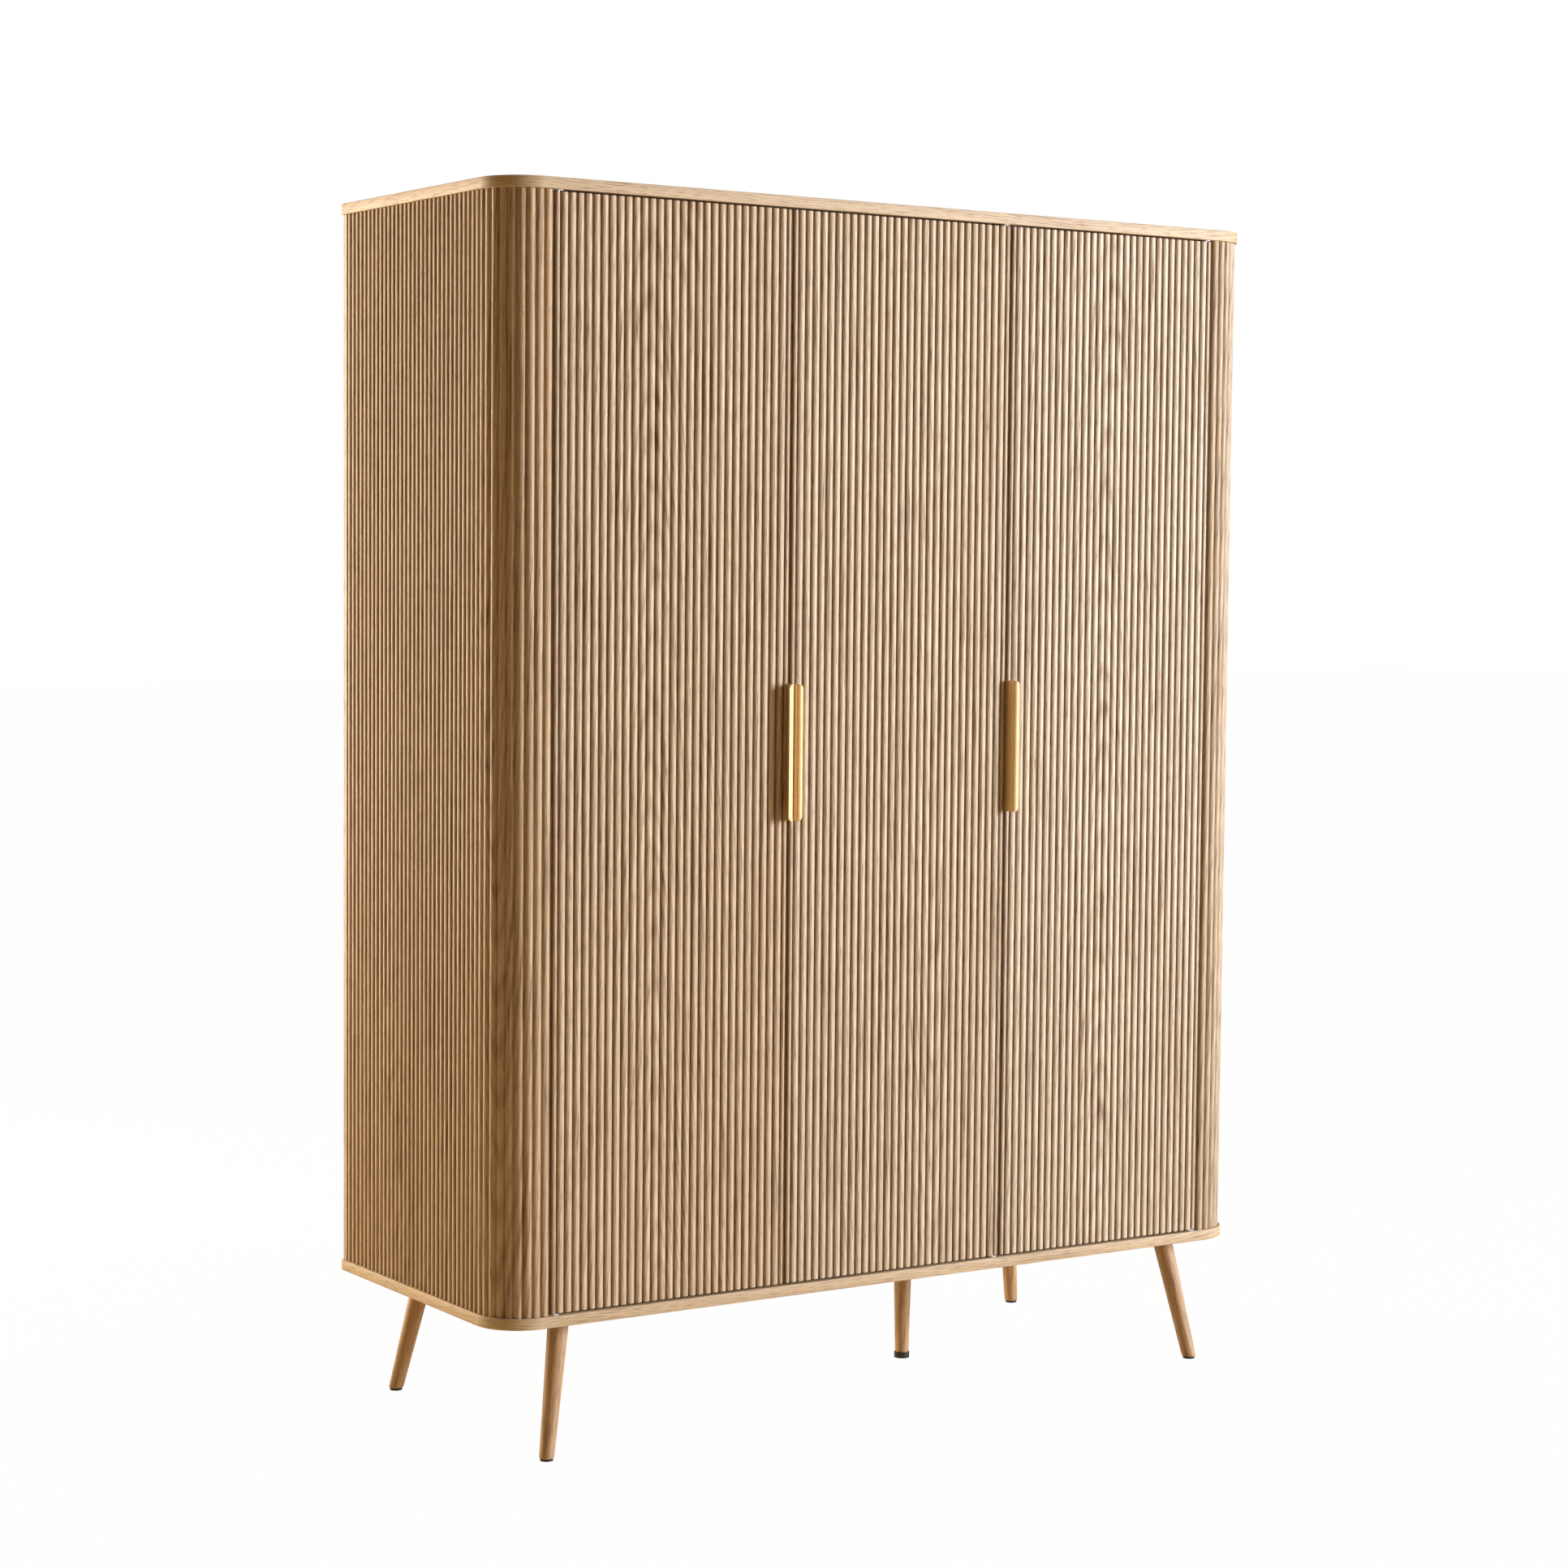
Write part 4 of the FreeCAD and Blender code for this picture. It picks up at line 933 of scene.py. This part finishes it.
for name in DOOR_LEAVES_AND_LIT_TONES:
    low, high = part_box(f"{name}_door_handle")
    door_low, door_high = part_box(f"{name}_door_panel")
    at_low_edge = low.x - door_low.x < door_high.x - high.x
    edge_x, way = (low.x, 1) if at_low_edge else (high.x, -1)
    pull = folded_pull(f"{name}_brass_pull", low, high, edge_x, way)
    pull.data.materials.append(brushed_brass)
    pull.data.materials.append(polished_brass)
    countersink = pull.modifiers.new("countersinks", "BOOLEAN")
    countersink.object = frame["nodes"][f"{name}_door_handle_screws"]
    countersink.solver = "EXACT"
    rim = pull.modifiers.new("rim", "BEVEL")
    rim.width = RIM
    rim.segments = 2
    rim.limit_method = "ANGLE"
    rim.angle_limit = math.radians(50)
    rim.material = 1
    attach(pull, f"{name}_door")
    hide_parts(f"{name}_door_handle")
    print(name, "pull folds towards", "+X" if way > 0 else "-X")

# %% [markdown]
# ## Finishes inside the wardrobe
# Inside, the boards are faced with the same oak in a quieter cut.  The back is a thin
# oak-faced board, the corner posts are plain timber, and the small fittings are plated
# steel, nylon and plastic.  These pieces keep the joiner's own shapes.  A tiny bevel takes
# the sharpness off the shelf edges, as the edging machine does.

# %% Dress the joiner's own pieces
def plastic(name, colour, roughness):
    """Moulded plastic with a faint grain."""
    finish = new_finish(name)
    point = finish.add("ShaderNodeTexCoord", output="Object")
    grain = finish.noise(point, 900.0, detail=3.0)
    patches = finish.noise(point, 30.0, detail=3.0)
    tint = finish.mix(patches, colour, darker(colour, 0.75))
    return finish.close(Base_Color=tint, Roughness=roughness + (grain - 0.5) * 0.15,
                        Normal=finish.bump(grain, 0.03 * MM, 0.35))


INSIDE = {"pale": paint(214, 187, 152), "warm": paint(176, 141, 101), "figure": 0.7}
inside_up = oak("oak_inside_upright", "up", (0.3, 0.5, 0.2), heart=0.11, **INSIDE)
inside_flat = oak("oak_inside_shelf", "sideways", (0.2, 0.1, 0.6), heart=0.13, **INSIDE)
back_board = oak("oak_back_board", "up", (-0.15, 0.8, 0.4), heart=0.09,
                 pale=paint(204, 178, 145), warm=paint(172, 139, 101), figure=0.55)
plain_timber = oak("plain_timber", "up", (0.6, 0.3, 0.2), heart=0.2,
                   pale=paint(214, 186, 142), warm=paint(186, 148, 100), figure=0.8)
black_plastic = plastic("black_plastic", paint(34, 34, 35), 0.42)
grey_plastic = plastic("grey_plastic", paint(120, 121, 124), 0.45)
bush_nylon = plastic("white_nylon", paint(214, 211, 202), 0.38)

BY_SLOT = {"interior_board": inside_up, "back_board": back_board, "plain_timber": plain_timber,
           "zinc_steel": zinc_steel, "rail_steel": rail_steel, "satin_brass": brushed_brass,
           "black_plastic": black_plastic, "grey_plastic": grey_plastic, "bush_nylon": bush_nylon,
           "oak": inside_up, "leg_oak": inside_up}
dressed = {}
for name, node in frame["nodes"].items():
    for place, filled in enumerate(node.material_slots):
        label = filled.material.name.split(".")[0] if filled.material else ""
        finish = BY_SLOT.get(label)
        if finish and "shelf" in name and label == "interior_board":
            finish = inside_flat
        if finish:
            node.data.materials[place] = finish
            dressed[finish.name] = dressed.get(finish.name, 0) + 1
        else:
            print("no finish for", name, label)
for name in ("hat_shelf", "lower_shelf", "lower_middle_shelf", "upper_middle_shelf", "upper_shelf",
             "back_joining_strip"):
    ease = frame["nodes"][name].modifiers.new("eased edges", "BEVEL")
    ease.width = END_EASE
    ease.segments = 2
    ease.limit_method = "ANGLE"
print(dressed)

# %% [markdown]
# ## Floor and light
# A pale floor that runs out into a white surround lets the wood's own colour speak.  Seen
# directly the floor glows, so it shows almost no shadow.  One large soft lamp stands far to
# the right and rakes along the front, so that each reed is lit on one cheek and dark on the
# other.  A second stands behind, to the left, and rakes along the side.  Only a little
# light comes from where the viewer stands, which leaves the near corner quiet.

# %% Set the floor and the lamps
FLOOR_GLOW = 0.985
FLOOR_REACH = 30.0
AMBIENT = (0.215, 0.145, 0.072, 1.0)
WHITE = (1.0, 1.0, 1.0, 1.0)


def floor_finish():
    """Pale matt floor; seen directly it glows, so that it meets the white surround."""
    finish = new_finish("pale_floor")
    point = finish.add("ShaderNodeTexCoord", output="Object")
    cloud = finish.noise(point, 1.3, detail=3.0)
    tone = finish.mix(cloud, paint(232, 210, 174), paint(228, 206, 170))
    matt = finish.add("ShaderNodeBsdfDiffuse", {}, {"Color": tone})
    glow = finish.add("ShaderNodeEmission", {}, {"Strength": 1.0})
    seen = finish.add("ShaderNodeLightPath", output="Is Camera Ray")
    surface = finish.add("ShaderNodeMixShader", {}, {0: seen * FLOOR_GLOW, 1: matt, 2: glow})
    finish.add("ShaderNodeOutputMaterial", {}, {"Surface": surface})
    return finish.owner


floor_mesh = bpy.data.meshes.new("floor")
work = bmesh.new()
bmesh.ops.create_grid(work, x_segments=8, y_segments=8, size=FLOOR_REACH)
work.to_mesh(floor_mesh)
work.free()
floor = bpy.data.objects.new("floor", floor_mesh)
bpy.context.scene.collection.objects.link(floor)
floor.data.materials.append(floor_finish())


def soft_lamp(name, place, aim, width, height, power, colour):
    """Rectangular lamp that faces a point."""
    lamp = bpy.data.lights.new(name, "AREA")
    lamp.shape = "RECTANGLE"
    lamp.size, lamp.size_y = width, height
    lamp.energy = power
    lamp.color = colour
    holder = bpy.data.objects.new(name, lamp)
    holder.location = place
    holder.rotation_euler = (Vector(aim) - Vector(place)).to_track_quat("-Z", "Y").to_euler()
    bpy.context.scene.collection.objects.link(holder)
    return holder


lamps = [
    soft_lamp("key_lamp", place=(5.0, -4.4, 2.0), aim=(0.0, -0.25, 1.1),
              width=1.3, height=3.0, power=700, colour=(0.97, 1.07, 1.24)),
    soft_lamp("side_lamp", place=(-2.5, 3.4, 1.5), aim=(-0.75, 0.05, 1.1),
              width=0.9, height=2.6, power=245, colour=(1.0, 0.92, 0.76)),
    soft_lamp("near_lamp", place=(-3.6, -5.4, 3.0), aim=(-0.3, 0.0, 1.0),
              width=3.0, height=2.4, power=10, colour=(1.0, 0.88, 0.66)),
]

world = bpy.data.worlds.new("white_surround")
surround = Finish(world)
seen = surround.add("ShaderNodeLightPath", output="Is Camera Ray")
glow = surround.mix(seen, AMBIENT, WHITE)
sky = surround.add("ShaderNodeBackground", {}, {"Color": glow, "Strength": 1.0})
surround.add("ShaderNodeOutputWorld", {}, {"Surface": sky})
bpy.context.scene.world = world
bpy.context.scene.view_settings.view_transform = "Standard"
print("lamps:", [lamp.name for lamp in lamps])

# %% [markdown]
# ## Viewpoint
# The wardrobe is seen from its left front, from about seven tenths of its height, through
# a long lens that keeps its uprights nearly straight.

# %% Place the camera
YAW = math.radians(33.22)
PITCH = math.radians(-3.80)
ROLL = math.radians(0.50)
LENS = 76.4
STAND = Vector((-3.177, -4.770, 1.413))
CENTRE = Vector((0.0, 0.01, 1.0))

forward = Vector((math.sin(YAW) * math.cos(PITCH), math.cos(YAW) * math.cos(PITCH),
                  math.sin(PITCH)))
level_right = forward.cross(Vector((0, 0, 1))).normalized()
level_up = level_right.cross(forward)
right = level_right * math.cos(ROLL) + level_up * math.sin(ROLL)
up = level_up * math.cos(ROLL) - level_right * math.sin(ROLL)
turn = Matrix((right, up, -forward)).transposed()

camera_data = bpy.data.cameras.new("viewpoint")
camera_data.lens = LENS
camera_data.sensor_width = 36.0
camera = bpy.data.objects.new("viewpoint", camera_data)
camera.matrix_world = Matrix.Translation(STAND) @ turn.to_4x4()
bpy.context.scene.collection.objects.link(camera)
bpy.context.scene.camera = camera
print("camera", round((CENTRE - STAND).length, 2), "m from the middle of the wardrobe")
